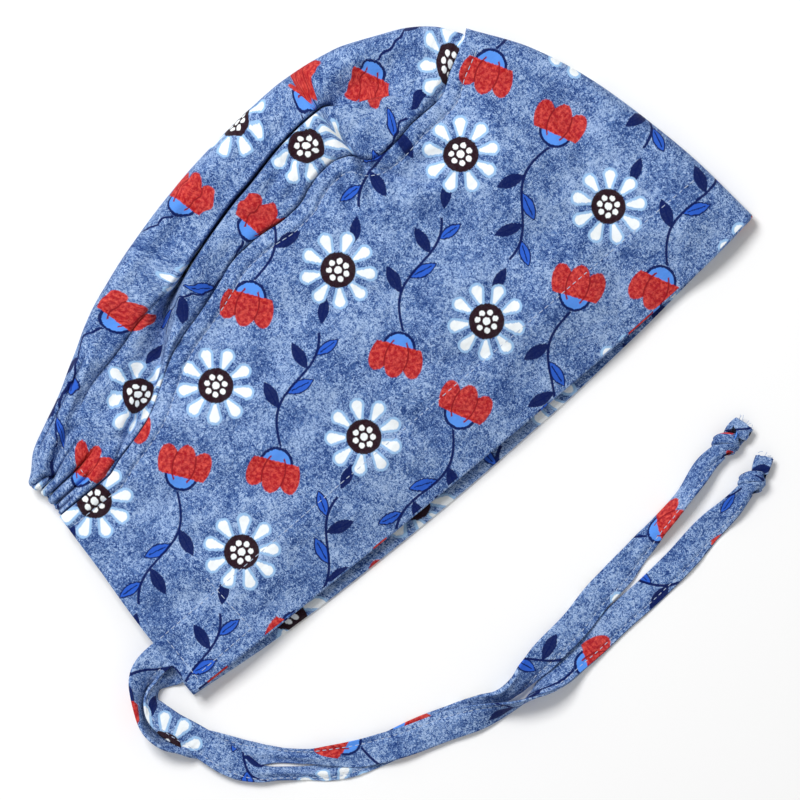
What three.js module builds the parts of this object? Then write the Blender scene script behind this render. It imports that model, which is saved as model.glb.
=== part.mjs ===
// A surgical scrub cap laid on its side, as a group of named meshes in millimetres.
// The cap lies on the plane z = 0 with its far side down and its near side up. +X runs along the
// brim from the back corner, where the ties leave, to the forehead fold, and +Y runs from the brim
// up to the crown. The tables below are written with x = 0 and y = 0 at the back corner of the
// brim, and the whole group is then moved so that the cap without its ties stands centred.
import * as THREE from "three";

// Driving dimensions
const CLOTH = 1; // wall of one layer of cloth
const GAP = 0.3; // clear space between two pieces that are sewn together
const FLOOR_LAYER = CLOTH / 2; // height of the middle of the layer that lies on the plane
const LAYER_STEP = CLOTH + GAP; // from the middle of one layer to the middle of the next
const BRIM_LENGTH = 292;
const BACK_X = 5; // where the seam and the nape edge meet the back edge
const CROWN_TIP_X = 254; // where the seam crosses the top of the forehead fold
const CROWN_END_X = 251.4; // how far forward the crown reaches inside that fold
const SEAM_LAP = 5; // how far the crown reaches under the side band
const HEM_WIDTH = 26;
const TIE_WIDTH = 12;
const TIE_THICKNESS = 1.4;
const TIE_IN_CASING = 14; // how much of a tie is held inside the hem
const REST = 0.05; // least height of a tie above the plane
const FRONT_FOLD = { brimRadius: 4.2, seamRadius: 6.6 };

// Edges of the cap as it lies, seen from above
const NEAR_BRIM = [
  { x: 0, y: 0 },
  { x: 60, y: -2 },
  { x: 130, y: -3.7 },
  { x: 200, y: -4.4 },
  { x: 260, y: -3.6 },
  { x: BRIM_LENGTH, y: -1 },
];
const FAR_BRIM = [
  { x: -1.5, y: -0.2 },
  { x: 40, y: -5 },
  { x: 80, y: -7.5 },
  { x: 135, y: -8.8 },
  { x: 180, y: -8.4 },
  { x: 230, y: -6.3 },
  { x: 262, y: -3.6 },
  { x: BRIM_LENGTH, y: -1 },
];
const FRONT_EDGE = [
  { x: BRIM_LENGTH, y: -1 },
  { x: 289.5, y: 28 },
  { x: 285.5, y: 52 },
  { x: 279, y: 80 },
  { x: 269, y: 106 },
  { x: CROWN_TIP_X, y: 129.5 },
];
const BACK_EDGE = [
  { x: 0, y: 0 },
  { x: 0.5, y: 26 },
  { x: 3, y: 60 },
  { x: BACK_X, y: 87.5 },
];
const SEAM = [
  { x: BACK_X, y: 87.5 },
  { x: 30, y: 86.7 },
  { x: 45, y: 90.2 },
  { x: 61, y: 95.8 },
  { x: 80, y: 108 },
  { x: 103, y: 113.2 },
  { x: 127, y: 119.8 },
  { x: 150, y: 118.2 },
  { x: 160, y: 118.8 },
  { x: 173, y: 123 },
  { x: 184, y: 121.6 },
  { x: 192, y: 113.6 },
  { x: 212, y: 113.8 },
  { x: 230, y: 115.6 },
  { x: 243, y: 121.4 },
  { x: CROWN_TIP_X, y: 129.5 },
];

// Heights of the near layer above the plane, along the brim and along the seam
const NEAR_HEIGHTS = [
  { x: -2, brim: 10.2, seam: 10.4 },
  { x: 45, brim: 11.5, seam: 12.6 },
  { x: 85, brim: 12.8, seam: 17 },
  { x: 127, brim: 13.4, seam: 21.5 },
  { x: 173, brim: 13.2, seam: 24 },
  { x: 212, brim: 12.4, seam: 21 },
  { x: 243, brim: 11.2, seam: 16.4 },
  { x: BRIM_LENGTH, brim: 8.9, seam: 13.7 },
];
// Rise of the near side above a straight line from the brim to the seam
const NEAR_BULGE = { height: 3.2, from: 20, to: 70 };
const TUCK = { x: 188, y: 117.5, depth: 3.6, alongX: 7, alongY: 9 };

// The crown's near side, a row for each section across it. Going up from the seam, it has an
// inner lobe, a lip, the long crease, and the outer lobe that turns over at the outline.
const CROWN = [
  {
    x: BACK_X, innerY: 91.5, innerZ: 10.2, lipY: 95, lipZ: 10.2,
    creaseY: 98, creaseZ: 9.4, outerY: 100.5, outerZ: 10.2, edgeY: 106.2,
  },
  {
    x: 14, innerY: 92, innerZ: 11.2, lipY: 98, lipZ: 11,
    creaseY: 102.5, creaseZ: 9.6, outerY: 107, outerZ: 11.2, edgeY: 114.2,
  },
  {
    x: 24, innerY: 92.5, innerZ: 12.2, lipY: 99.5, lipZ: 12,
    creaseY: 106, creaseZ: 9.6, outerY: 112, outerZ: 12.2, edgeY: 119,
  },
  {
    x: 40, innerY: 95.5, innerZ: 13.4, lipY: 104, lipZ: 12.6,
    creaseY: 113, creaseZ: 9.8, outerY: 119.4, outerZ: 14.4, edgeY: 126.2,
  },
  {
    x: 60, innerY: 102, innerZ: 15, lipY: 110, lipZ: 13,
    creaseY: 119.4, creaseZ: 9.8, outerY: 129, outerZ: 16.8, edgeY: 137.4,
  },
  {
    x: 80, innerY: 112.6, innerZ: 18.4, lipY: 117.4, lipZ: 16.6,
    creaseY: 124, creaseZ: 10.4, outerY: 136, outerZ: 19, edgeY: 145.4,
  },
  {
    x: 100, innerY: 118.6, innerZ: 23.4, lipY: 124.4, lipZ: 22.4,
    creaseY: 128.4, creaseZ: 11.4, outerY: 141, outerZ: 21, edgeY: 151.2,
  },
  {
    x: 120, innerY: 124.6, innerZ: 26.6, lipY: 130.4, lipZ: 25.8,
    creaseY: 133.6, creaseZ: 14.4, outerY: 145, outerZ: 22.8, edgeY: 155.6,
  },
  {
    x: 150, innerY: 128, innerZ: 29, lipY: 136.2, lipZ: 28,
    creaseY: 139.4, creaseZ: 17.4, outerY: 149.5, outerZ: 24.6, edgeY: 159.6,
  },
  {
    x: 187, innerY: 131.5, innerZ: 30, lipY: 141.4, lipZ: 28.4,
    creaseY: 145.2, creaseZ: 18.6, outerY: 151.5, outerZ: 23.6, edgeY: 160.4,
  },
  {
    x: 210, innerY: 123.4, innerZ: 25.2, lipY: 129.8, lipZ: 24.4,
    creaseY: 135.6, creaseZ: 20, outerY: 146, outerZ: 22, edgeY: 157,
  },
  {
    x: 232, innerY: 121.2, innerZ: 19.6, lipY: 124.6, lipZ: 19.8,
    creaseY: 129, creaseZ: 19.2, outerY: 136, outerZ: 19.4, edgeY: 147.4,
  },
  {
    x: 245, innerY: 125.6, innerZ: 14.4, lipY: 127, lipZ: 14.4,
    creaseY: 128.6, creaseZ: 14.2, outerY: 131, outerZ: 13.8, edgeY: 138,
  },
  {
    x: CROWN_END_X, innerY: 127.8, innerZ: 9.9, lipY: 127.95, lipZ: 9.8,
    creaseY: 128.1, creaseZ: 9.7, outerY: 128.3, outerZ: 9.6, edgeY: 129,
  },
];
// Where each of those points stands along a section, from the outline (0) to the hidden lap (1)
const ACROSS = { outer: 0.3, crease: 0.46, lip: 0.54, inner: 0.7, seam: 0.9, lap: 1 };
// Height of the outline's middle, and how far the far side curls before it lies flat
const CROWN_TURN = [
  { x: BACK_X, middle: 5, curl: 5 },
  { x: 40, middle: 6, curl: 6 },
  { x: 100, middle: 8.4, curl: 8 },
  { x: 187, middle: 9.4, curl: 9 },
  { x: 232, middle: 8.4, curl: 8 },
  { x: CROWN_END_X, middle: 7.1, curl: 0.6 },
];
// Gathers drawn in by the elastic at the nape, which fan out and fade into the crown
const GATHERS = { pleats: 5, depth: 0.75, casing: 24, fadeAt: 72, farDepth: 0.4, scallop: 1.2 };

// Centre lines of the two ties as they lie. width is the strip's own width there, narrower where it
// is bunched, and lean turns the strip about its line, in degrees: below 0 lifts its outer edge.
const NEAR_TIE = [
  { x: TIE_IN_CASING, y: 19, z: 8.9, lean: 0, width: 12 },
  { x: 4, y: 19, z: 8.8, lean: 0, width: 12 },
  { x: -4, y: 19.2, z: 8.7, lean: -4, width: 12 },
  { x: -11, y: 17.9, z: 8, lean: -26, width: 12 },
  { x: -17.6, y: 13.2, z: 6.9, lean: -50, width: 12 },
  { x: -22.4, y: 6.4, z: 6.8, lean: -66, width: 12 },
  { x: -23.8, y: -1, z: 6.6, lean: -66, width: 12 },
  { x: -21.8, y: -7.4, z: 4.8, lean: -42, width: 12 },
  { x: -17, y: -12.6, z: 1.9, lean: -10, width: 12 },
  { x: -11.6, y: -18.4, z: 0.8, lean: 0, width: 12 },
  { x: -5.6, y: -26.4, z: 0.8, lean: 0, width: 12 },
  { x: 0.2, y: -33.6, z: 0.8, lean: 0, width: 11 },
  { x: 6, y: -38.8, z: 1, lean: 0, width: 7.4 },
  { x: 10.6, y: -43.4, z: 1, lean: 0, width: 6 },
  { x: 16.6, y: -49.2, z: 1.9, lean: 0, width: 6 },
  { x: 22.8, y: -54.6, z: 3.4, lean: 0, width: 8 },
  { x: 31, y: -60.6, z: 3, lean: 0, width: 10.6 },
  { x: 44, y: -67.4, z: 2.8, lean: 0, width: 12 },
  { x: 60, y: -73.8, z: 2.8, lean: 0, width: 12 },
  { x: 74, y: -79.6, z: 3.6, lean: 16, width: 12 },
  { x: 84, y: -83.8, z: 5.2, lean: 42, width: 12 },
  { x: 92, y: -86.8, z: 6.2, lean: 66, width: 12 },
  { x: 99.6, y: -88.8, z: 6.7, lean: 88, width: 12 },
  { x: 107, y: -89.8, z: 6, lean: 119, width: 12 },
  { x: 114, y: -89.8, z: 3.9, lean: 149, width: 12 },
  { x: 123, y: -89.2, z: 1.8, lean: 171, width: 12 },
  { x: 135, y: -88.9, z: 0.8, lean: 180, width: 12 },
  { x: 150, y: -88.7, z: 0.8, lean: 180, width: 12 },
  { x: 168, y: -88, z: 0.8, lean: 180, width: 12 },
  { x: 186, y: -86, z: 0.8, lean: 180, width: 12 },
  { x: 200, y: -84.6, z: 1.2, lean: 180, width: 11 },
  { x: 211, y: -84, z: 3, lean: 180, width: 9 },
  { x: 219, y: -82.6, z: 4.2, lean: 180, width: 7 },
];
const FAR_TIE = [
  { x: TIE_IN_CASING, y: 11, z: 2, lean: 0, width: 12 },
  { x: 4, y: 11, z: 2, lean: 0, width: 11 },
  { x: -1, y: 10.8, z: 2, lean: 0, width: 11 },
  { x: -5.4, y: 9.8, z: 3, lean: -32, width: 8 },
  { x: -9.8, y: 9.2, z: 4.2, lean: -62, width: 7.4 },
  { x: -13.4, y: 6.6, z: 4.6, lean: -60, width: 8 },
  { x: -15, y: 2, z: 4.5, lean: -44, width: 10 },
  { x: -14.8, y: -3.4, z: 4.4, lean: -30, width: 12 },
  { x: -13.8, y: -9.6, z: 4.2, lean: -18, width: 12 },
  { x: -12, y: -17.4, z: 3.4, lean: -5, width: 12 },
  { x: -9, y: -27, z: 2.9, lean: 0, width: 12 },
  { x: -5.6, y: -35.4, z: 2.9, lean: 0, width: 11 },
  { x: -2.4, y: -41.8, z: 3, lean: 0, width: 7.4 },
  { x: 4, y: -47.8, z: 1.6, lean: 0, width: 5.6 },
  { x: 11.4, y: -54, z: 1, lean: 0, width: 5.6 },
  { x: 19.4, y: -59.4, z: 1, lean: 0, width: 7.6 },
  { x: 30, y: -64.2, z: 0.8, lean: 0, width: 10.6 },
  { x: 44, y: -67.6, z: 0.8, lean: 0, width: 12 },
  { x: 60, y: -72.2, z: 0.8, lean: 0, width: 12 },
  { x: 74, y: -76.8, z: 1.4, lean: 8, width: 11 },
  { x: 84, y: -79.4, z: 3.2, lean: 32, width: 10 },
  { x: 92, y: -81.2, z: 4.6, lean: 50, width: 10 },
  { x: 99.6, y: -81.8, z: 4.9, lean: 40, width: 10 },
  { x: 107, y: -81.1, z: 5, lean: 14, width: 10.4 },
  { x: 116, y: -80.2, z: 4.6, lean: 4, width: 12 },
  { x: 128, y: -78.8, z: 3.2, lean: 0, width: 12 },
  { x: 142, y: -77.2, z: 2.7, lean: 0, width: 12 },
  { x: 158, y: -75, z: 1.6, lean: 0, width: 12 },
  { x: 170, y: -73, z: 1, lean: 0, width: 10 },
  { x: 184, y: -71, z: 2, lean: -36, width: 9 },
  { x: 196, y: -68.8, z: 3.2, lean: -52, width: 9 },
  { x: 207, y: -66, z: 3.6, lean: -28, width: 9 },
  { x: 215, y: -64.2, z: 4, lean: -8, width: 8 },
  { x: 221, y: -63.8, z: 4.2, lean: 0, width: 7 },
];
// A knot's profile from where the tie enters it to its cut tail, and how it is turned
const KNOT = [
  { along: 0, radius: 3.2 },
  { along: 1.2, radius: 4.6 },
  { along: 3.6, radius: 5.4 },
  { along: 5.4, radius: 4.5 },
  { along: 7.2, radius: 5.2 },
  { along: 9.4, radius: 4.4 },
  { along: 10.6, radius: 3.2 },
  { along: 13.4, radius: 3.7 },
  { along: 15.4, radius: 3 },
];
const KNOT_FLATTEN = 0.78;

// Mesh resolution
const CROWN_ROWS = [
  ...[-1, -0.95, -0.9, -0.85, -0.8, -0.75, -0.7, -0.65, -0.6],
  ...[-0.56, -0.53, -0.5, -0.47, -0.44, -0.41, -0.37, -0.33],
  ...[-0.28, -0.23, -0.18, -0.12, -0.06, 0, 0.06, 0.12, 0.18, 0.24, 0.3],
  ...[0.36, 0.42, 0.48, 0.54, 0.6, 0.66, 0.72, 0.78, 0.84, 0.9, 1],
];
const NEAR_STATIONS = [
  ...[5, 14, 24, 34, 46, 60, 74, 88, 102, 118, 134, 150],
  ...[162, 170, 177, 183, 188, 193, 200, 210, 222, 234, 243],
];
const FAR_COLUMNS = 14;
const FOLD_STEPS = 8;
const BAND_ROWS = [0, 0.1, 0.22, 0.36, 0.5, 0.64, 0.76, 0.86, 0.92, 0.96, 1];
const TIE_STEPS = 80;

// A smooth curve through one named column of a table, without overshoot between its rows.
function column(rows, value, key = "x") {
  const xs = rows.map((row) => row[key]);
  const ys = rows.map((row) => row[value]);
  const slopes = xs.slice(1).map((x, i) => (ys[i + 1] - ys[i]) / (x - xs[i]));
  const tangents = xs.map((_, i) => {
    const before = slopes[Math.max(i - 1, 0)];
    const after = slopes[Math.min(i, slopes.length - 1)];
    return before * after <= 0 ? 0 : (2 * before * after) / (before + after);
  });
  return (x) => {
    const last = xs.length - 2;
    const at = Math.min(Math.max(xs.findIndex((knot) => knot > x) - 1, 0), last);
    const i = x >= xs[xs.length - 1] ? last : at;
    const width = xs[i + 1] - xs[i];
    const t = Math.min(Math.max((x - xs[i]) / width, 0), 1);
    const t2 = t * t;
    const t3 = t2 * t;
    return (
      (2 * t3 - 3 * t2 + 1) * ys[i] +
      (t3 - 2 * t2 + t) * width * tangents[i] +
      (3 * t2 - 2 * t3) * ys[i + 1] +
      (t3 - t2) * width * tangents[i + 1]
    );
  };
}

const mix = THREE.MathUtils.lerp;
const smooth = THREE.MathUtils.smoothstep;

const nearBrimY = column(NEAR_BRIM, "y");
const farBrimY = column(FAR_BRIM, "y");
const backEdgeX = column(BACK_EDGE, "x", "y");
const seamY = column(SEAM, "y");
const brimHeight = column(NEAR_HEIGHTS, "brim");
const seamHeight = column(NEAR_HEIGHTS, "seam");
const frontEdge = new THREE.SplineCurve(FRONT_EDGE.map(({ x, y }) => new THREE.Vector2(x, y)));

// The small hollow where the crown's tuck is caught in the seam.
function tuckDip(x, y) {
  return TUCK.depth * Math.exp(-(((x - TUCK.x) / TUCK.alongX) ** 2) - ((y - TUCK.y) / TUCK.alongY) ** 2);
}

// Height of the middle of the near layer of the side band.
function nearHeight(x, y) {
  const t = (y - nearBrimY(x)) / (seamY(Math.min(x, CROWN_TIP_X)) - nearBrimY(x));
  const up = THREE.MathUtils.clamp(t, 0, 1);
  const bulge = NEAR_BULGE.height * smooth(x, NEAR_BULGE.from, NEAR_BULGE.to) * Math.sin(Math.PI * up);
  return mix(brimHeight(x), seamHeight(x), up) + bulge - tuckDip(x, y);
}

// A place on the side band seen from above: w runs from the front fold (0) to the back edge (1),
// t from the brim (0) to the seam (1). The four edges are blended into one patch.
function bandPlace(w, t, isNear) {
  const backX = (y) => backEdgeX(y) + (isNear ? 0 : mix(FAR_BRIM[0].x, 0, smooth(y, 0, 40)));
  const brimY = isNear ? nearBrimY : farBrimY;
  const brimX = mix(BRIM_LENGTH, isNear ? 0 : FAR_BRIM[0].x, w);
  const seamX = mix(CROWN_TIP_X, BACK_X, w);
  const front = frontEdge.getPointAt(t);
  const backY = mix(brimY(isNear ? 0 : FAR_BRIM[0].x), SEAM[0].y, t);
  const corner = (u, v) => ({
    x: v ? mix(CROWN_TIP_X, BACK_X, u) : mix(BRIM_LENGTH, isNear ? 0 : FAR_BRIM[0].x, u),
    y: v ? seamY(mix(CROWN_TIP_X, BACK_X, u)) : brimY(mix(BRIM_LENGTH, FAR_BRIM[0].x, u)),
  });
  const blend = (key, brim, seam, frontValue, back) =>
    mix(brim, seam, t) +
    mix(frontValue, back, w) -
    mix(mix(corner(0, 0)[key], corner(1, 0)[key], w), mix(corner(0, 1)[key], corner(1, 1)[key], w), t);
  return new THREE.Vector2(
    blend("x", brimX, seamX, front.x, backX(backY)),
    blend("y", brimY(brimX), seamY(seamX), front.y, backY),
  );
}

// A point of the side band's middle surface, or of a layer inside it. place is how far the point
// is round the front fold: below 0 on the near side, above 0 on the far side, 1 at a back edge.
function bandPoint(place, t, inset = 0) {
  const isNear = place < 0;
  const radius = mix(FRONT_FOLD.brimRadius, FRONT_FOLD.seamRadius, t) - inset;
  const length = mix(BRIM_LENGTH, CROWN_TIP_X - BACK_X, t);
  const arc = Math.abs(place) * length; // length of cloth from the fold's middle
  const turn = Math.min(arc / radius, Math.PI / 2);
  const inward = inset + radius * (1 - Math.cos(turn)) + Math.max(arc - (radius * Math.PI) / 2, 0);
  const shrink = (length - inset) / (length - radius * (Math.PI / 2 - 1));
  const flat = bandPlace(Math.min((inward * shrink) / length, 1), t, isNear);
  const middle = FLOOR_LAYER + mix(FRONT_FOLD.brimRadius, FRONT_FOLD.seamRadius, t);
  const level = isNear ? nearHeight(flat.x, flat.y) - inset : FLOOR_LAYER + inset;
  return new THREE.Vector3(flat.x, flat.y, mix(middle, level, Math.sin(turn)));
}

// Places along the side band at one height: at the stations on the near side, close together round
// the front fold, and evenly along the far side.
function bandPlaces(t) {
  const length = mix(BRIM_LENGTH, CROWN_TIP_X - BACK_X, t);
  const radius = mix(FRONT_FOLD.brimRadius, FRONT_FOLD.seamRadius, t);
  const slack = radius * (Math.PI / 2 - 1);
  const fold = (radius * Math.PI) / 2 / length;
  const near = NEAR_STATIONS.map((x) => {
    const w = (CROWN_TIP_X - x) / (CROWN_TIP_X - BACK_X);
    return -(w * (length - slack) + slack) / length;
  });
  const round = Array.from({ length: FOLD_STEPS + 1 }, (_, i) => mix(-fold, fold, i / FOLD_STEPS));
  const far = Array.from({ length: FAR_COLUMNS }, (_, i) => mix(fold, 1, (i + 1) / FAR_COLUMNS));
  return [...near, ...round, ...far];
}

// Gives a grid of points the thickness of cloth: one closed solid with its faces out.
function clothSolid(grid, thickness) {
  const rows = grid.length;
  const columns = grid[0].length;
  const at = (i, j) => grid[THREE.MathUtils.clamp(i, 0, rows - 1)][THREE.MathUtils.clamp(j, 0, columns - 1)];
  const positions = [];
  for (const side of [1, -1]) {
    for (let i = 0; i < rows; i++) {
      for (let j = 0; j < columns; j++) {
        const along = at(i, j + 1).clone().sub(at(i, j - 1));
        const across = at(i + 1, j).clone().sub(at(i - 1, j));
        const normal = along.cross(across).normalize();
        positions.push(...at(i, j).clone().addScaledVector(normal, (side * thickness) / 2).toArray());
      }
    }
  }
  const outer = (i, j) => i * columns + j;
  const inner = (i, j) => rows * columns + outer(i, j);
  const index = [];
  const quad = (a, b, c, d) => index.push(a, b, c, a, c, d);
  for (let i = 0; i < rows - 1; i++) {
    for (let j = 0; j < columns - 1; j++) {
      quad(outer(i, j), outer(i, j + 1), outer(i + 1, j + 1), outer(i + 1, j));
      quad(inner(i, j), inner(i + 1, j), inner(i + 1, j + 1), inner(i, j + 1));
    }
  }
  for (let j = 0; j < columns - 1; j++) {
    quad(inner(0, j), inner(0, j + 1), outer(0, j + 1), outer(0, j));
    quad(outer(rows - 1, j), outer(rows - 1, j + 1), inner(rows - 1, j + 1), inner(rows - 1, j));
  }
  for (let i = 0; i < rows - 1; i++) {
    quad(outer(i, 0), outer(i + 1, 0), inner(i + 1, 0), inner(i, 0));
    quad(inner(i, columns - 1), inner(i + 1, columns - 1), outer(i + 1, columns - 1), outer(i, columns - 1));
  }
  const geometry = new THREE.BufferGeometry();
  geometry.setAttribute("position", new THREE.Float32BufferAttribute(positions, 3));
  geometry.setIndex(index);
  geometry.computeVertexNormals();
  return geometry;
}

// The side band: one strip that wraps the forehead, open at the brim and down the back.
function sideBand() {
  const grid = BAND_ROWS.map((t) => bandPlaces(t).map((place) => bandPoint(place, t)));
  return clothSolid(grid, CLOTH);
}

// The hem inside the brim. Its layer steps further in at the back, where the ties lie in it.
function brimHem() {
  const rows = 3;
  const grid = Array.from({ length: rows + 1 }, (_, i) =>
    bandPlaces(0).map((place) => {
      const fromFold = Math.abs(place) * BRIM_LENGTH;
      const backness = smooth(fromFold, BRIM_LENGTH - 44, BRIM_LENGTH - 2 * TIE_IN_CASING);
      const inset = LAYER_STEP + GAP / 2 + backness * (TIE_THICKNESS + GAP);
      const height = seamY(mix(CROWN_TIP_X, BACK_X, Math.abs(place))) + 4;
      const t = (GAP + (HEM_WIDTH - GAP) * (i / rows)) / height;
      return bandPoint(place, t, inset);
    }),
  );
  return clothSolid(grid, CLOTH);
}

const crownColumns = Object.fromEntries(
  Object.keys(CROWN[0])
    .filter((key) => key !== "x")
    .map((key) => [key, column(CROWN, key)]),
);
const crownMiddle = column(CROWN_TURN, "middle");
const crownCurl = column(CROWN_TURN, "curl");

// Height of the crown's layer under the side band, which follows the band round its front fold.
function lapHeight(x, y, isNear) {
  const radius = FRONT_FOLD.seamRadius - LAYER_STEP;
  const inward = THREE.MathUtils.clamp((CROWN_TIP_X - LAYER_STEP - x) / radius, 0, 1);
  const level = isNear ? nearHeight(x, y) - LAYER_STEP - 0.3 * tuckDip(x, y) : FLOOR_LAYER + LAYER_STEP;
  return mix(FLOOR_LAYER + FRONT_FOLD.seamRadius, level, Math.sqrt(inward * (2 - inward)));
}

// A point of the crown: v runs from the near lap (-1) over the outline (0) to the far lap (1).
function crownPoint(x, v) {
  const share = Math.abs(v);
  const c = Object.fromEntries(Object.entries(crownColumns).map(([key, curve]) => [key, curve(x)]));
  const seam = seamY(x);
  const middle = crownMiddle(x);
  const turn = (Math.PI / 2) * Math.min(share / ACROSS.outer, 1);
  const free = smooth(share, 0.1, 0.2) * (1 - smooth(share, 0.82, 0.88));
  const elastic = free * (1 - smooth(x, GATHERS.casing, GATHERS.fadeAt));
  const wave = Math.cos(2 * Math.PI * GATHERS.pleats * share);
  const scallop = (1 - smooth(x, BACK_X, GATHERS.casing)) * GATHERS.scallop * (1 - share) * (1 + wave);
  let y;
  let z;
  if (v < 0) {
    const stops = [
      { at: ACROSS.outer, y: c.outerY, z: c.outerZ },
      { at: ACROSS.crease, y: c.creaseY, z: c.creaseZ },
      { at: ACROSS.lip, y: c.lipY, z: c.lipZ },
      { at: ACROSS.inner, y: c.innerY, z: c.innerZ },
      { at: ACROSS.seam, y: seam, z: lapHeight(x, seam, true) },
      { at: ACROSS.lap, y: seam - SEAM_LAP, z: lapHeight(x, seam - SEAM_LAP, true) },
    ];
    y = share < ACROSS.outer ? mix(c.outerY, c.edgeY, Math.cos(turn)) : column(stops, "y", "at")(share);
    z = share < ACROSS.outer ? mix(middle, c.outerZ, Math.sin(turn)) : column(stops, "z", "at")(share);
    z += elastic * GATHERS.depth * wave;
  } else {
    const flatY = c.edgeY - crownCurl(x);
    const underBand = Math.max(smooth(share, 0.66, 0.86), smooth(x, 222, 243));
    const level = mix(FLOOR_LAYER, lapHeight(x, seam, false), underBand);
    const flat = THREE.MathUtils.clamp((share - ACROSS.outer) / (ACROSS.seam - ACROSS.outer), 0, 1);
    const lap = THREE.MathUtils.clamp((share - ACROSS.seam) / (ACROSS.lap - ACROSS.seam), 0, 1);
    y = share < ACROSS.outer ? mix(flatY, c.edgeY, Math.cos(turn)) : mix(flatY, seam, flat) - SEAM_LAP * lap;
    z = mix(middle, level, Math.sin(turn)) + elastic * GATHERS.farDepth * (1 + wave);
  }
  return new THREE.Vector3(x - scallop, y, z);
}

// The crown: gathered at the nape, seamed to the band on both sides, folded over at the outline.
function crown() {
  const stations = [...NEAR_STATIONS, 247, 249.6, CROWN_END_X];
  const grid = CROWN_ROWS.map((v) => stations.map((x) => crownPoint(x, v)));
  return clothSolid(grid, CLOTH);
}

// A flat strip of folded cloth along a tie's line. Its section has round edges, keeps about the
// same area where the strip is bunched, and is lifted where an edge would dip below the plane.
function tie(rows) {
  const line = new THREE.CatmullRomCurve3(
    rows.map(({ x, y, z }) => new THREE.Vector3(x, y, z)),
    false,
    "centripetal",
  );
  const byRow = rows.map((row, at) => ({ at, ...row }));
  const lean = column(byRow, "lean", "at");
  const width = column(byRow, "width", "at");
  const halfWidth = TIE_WIDTH / 2;
  const halfThick = TIE_THICKNESS / 2;
  const corner = halfWidth - halfThick;
  const section = new THREE.Shape(
    [
      [corner, -halfThick],
      [halfWidth, -halfThick / 3],
      [halfWidth, halfThick / 3],
      [corner, halfThick],
      [-corner, halfThick],
      [-halfWidth, halfThick / 3],
      [-halfWidth, -halfThick / 3],
      [-corner, -halfThick],
    ].map(([x, y]) => new THREE.Vector2(x, y)),
  );
  const geometry = new THREE.ExtrudeGeometry(section, {
    steps: TIE_STEPS,
    depth: TIE_STEPS,
    bevelEnabled: false,
  });
  const position = geometry.getAttribute("position");
  for (let i = 0; i < position.count; i++) {
    const t = position.getZ(i) / TIE_STEPS;
    const row = t * (rows.length - 1);
    const centre = line.getPoint(t);
    const along = line.getTangent(t);
    const side = along.clone().cross(new THREE.Vector3(0, 0, 1)).normalize();
    side.applyAxisAngle(along, THREE.MathUtils.degToRad(lean(row)));
    const up = side.clone().cross(along);
    const swell = 1 / Math.max(width(row) / TIE_WIDTH, 0.7);
    const reach = width(row) / 2;
    const lowest = centre.z - Math.abs(side.z) * (reach - halfThick * swell) - halfThick * swell;
    centre.z += Math.max(REST - lowest, 0);
    const across = position.getX(i);
    const fromEdge = (halfWidth - Math.abs(across)) * swell;
    centre.addScaledVector(side, -Math.sign(across) * (reach - fromEdge));
    centre.addScaledVector(up, position.getY(i) * swell);
    position.setXYZ(i, centre.x, centre.y, centre.z);
  }
  geometry.computeVertexNormals();
  return geometry;
}

// An overhand knot with its short tail: a lathe turned along the tie and pressed a little flat.
function knot() {
  const last = KNOT[KNOT.length - 1].along;
  const profile = [
    new THREE.Vector2(0, 0),
    ...KNOT.map(({ along, radius }) => new THREE.Vector2(radius, along)),
    new THREE.Vector2(0, last),
  ];
  const geometry = new THREE.LatheGeometry(profile, 12);
  geometry.rotateZ(-Math.PI / 2);
  geometry.scale(1, 1, KNOT_FLATTEN);
  return geometry;
}

const printedCotton = (color) =>
  new THREE.MeshStandardMaterial({ color, roughness: 0.92, metalness: 0 });

function named(name, geometry, color) {
  const mesh = new THREE.Mesh(geometry, printedCotton(color));
  mesh.name = name;
  return mesh;
}

// A knot is set on the end of its tie, and turned to follow it.
function placedKnot(name, rows) {
  const [before, end] = rows.slice(-2);
  const turn = Math.atan2(end.y - before.y, end.x - before.x);
  const reach = 2 * GAP;
  const mesh = named(name, knot(), 0x5f7fae);
  mesh.position.set(end.x + reach * Math.cos(turn), end.y + reach * Math.sin(turn), 5.4 * KNOT_FLATTEN);
  mesh.rotation.z = turn;
  return mesh;
}

const cap = new THREE.Group();
cap.add(named("side_band", sideBand(), 0x6d8cba));
cap.add(named("brim_hem", brimHem(), 0x6786b4));
cap.add(named("crown", crown(), 0x6f8fbe));

const ties = new THREE.Group();
ties.add(named("tie_near", tie(NEAR_TIE), 0x6483b2));
ties.add(named("tie_far", tie(FAR_TIE), 0x6483b2));
ties.add(placedKnot("knot_near", NEAR_TIE));
ties.add(placedKnot("knot_far", FAR_TIE));

const footprint = new THREE.Box3().setFromObject(cap, true);
const centre = footprint.getCenter(new THREE.Vector3());
const root = new THREE.Group();
root.add(cap, ties);
root.position.set(-centre.x, -centre.y, -footprint.min.z);

export default root;
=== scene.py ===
"""The looks of a surgical scrub cap that lies on its side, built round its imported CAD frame.

Lengths in the tables are millimetres in the cap's own frame: x runs along the brim from the back
corner to the forehead fold, y from the brim up to the crown, and z is the height above the
surface. place() turns them into metres in the row's frame.
"""

from __future__ import annotations

import logging
import math
from collections.abc import Callable, Sequence
from dataclasses import dataclass
from enum import Enum

import bmesh
import bpy
import numpy as np
from bmesh.types import BMesh
from bpy.types import ID, Material, Mesh, Node, NodeSocket, NodeTree, Object
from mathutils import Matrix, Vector
from numpy.typing import NDArray


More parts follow.
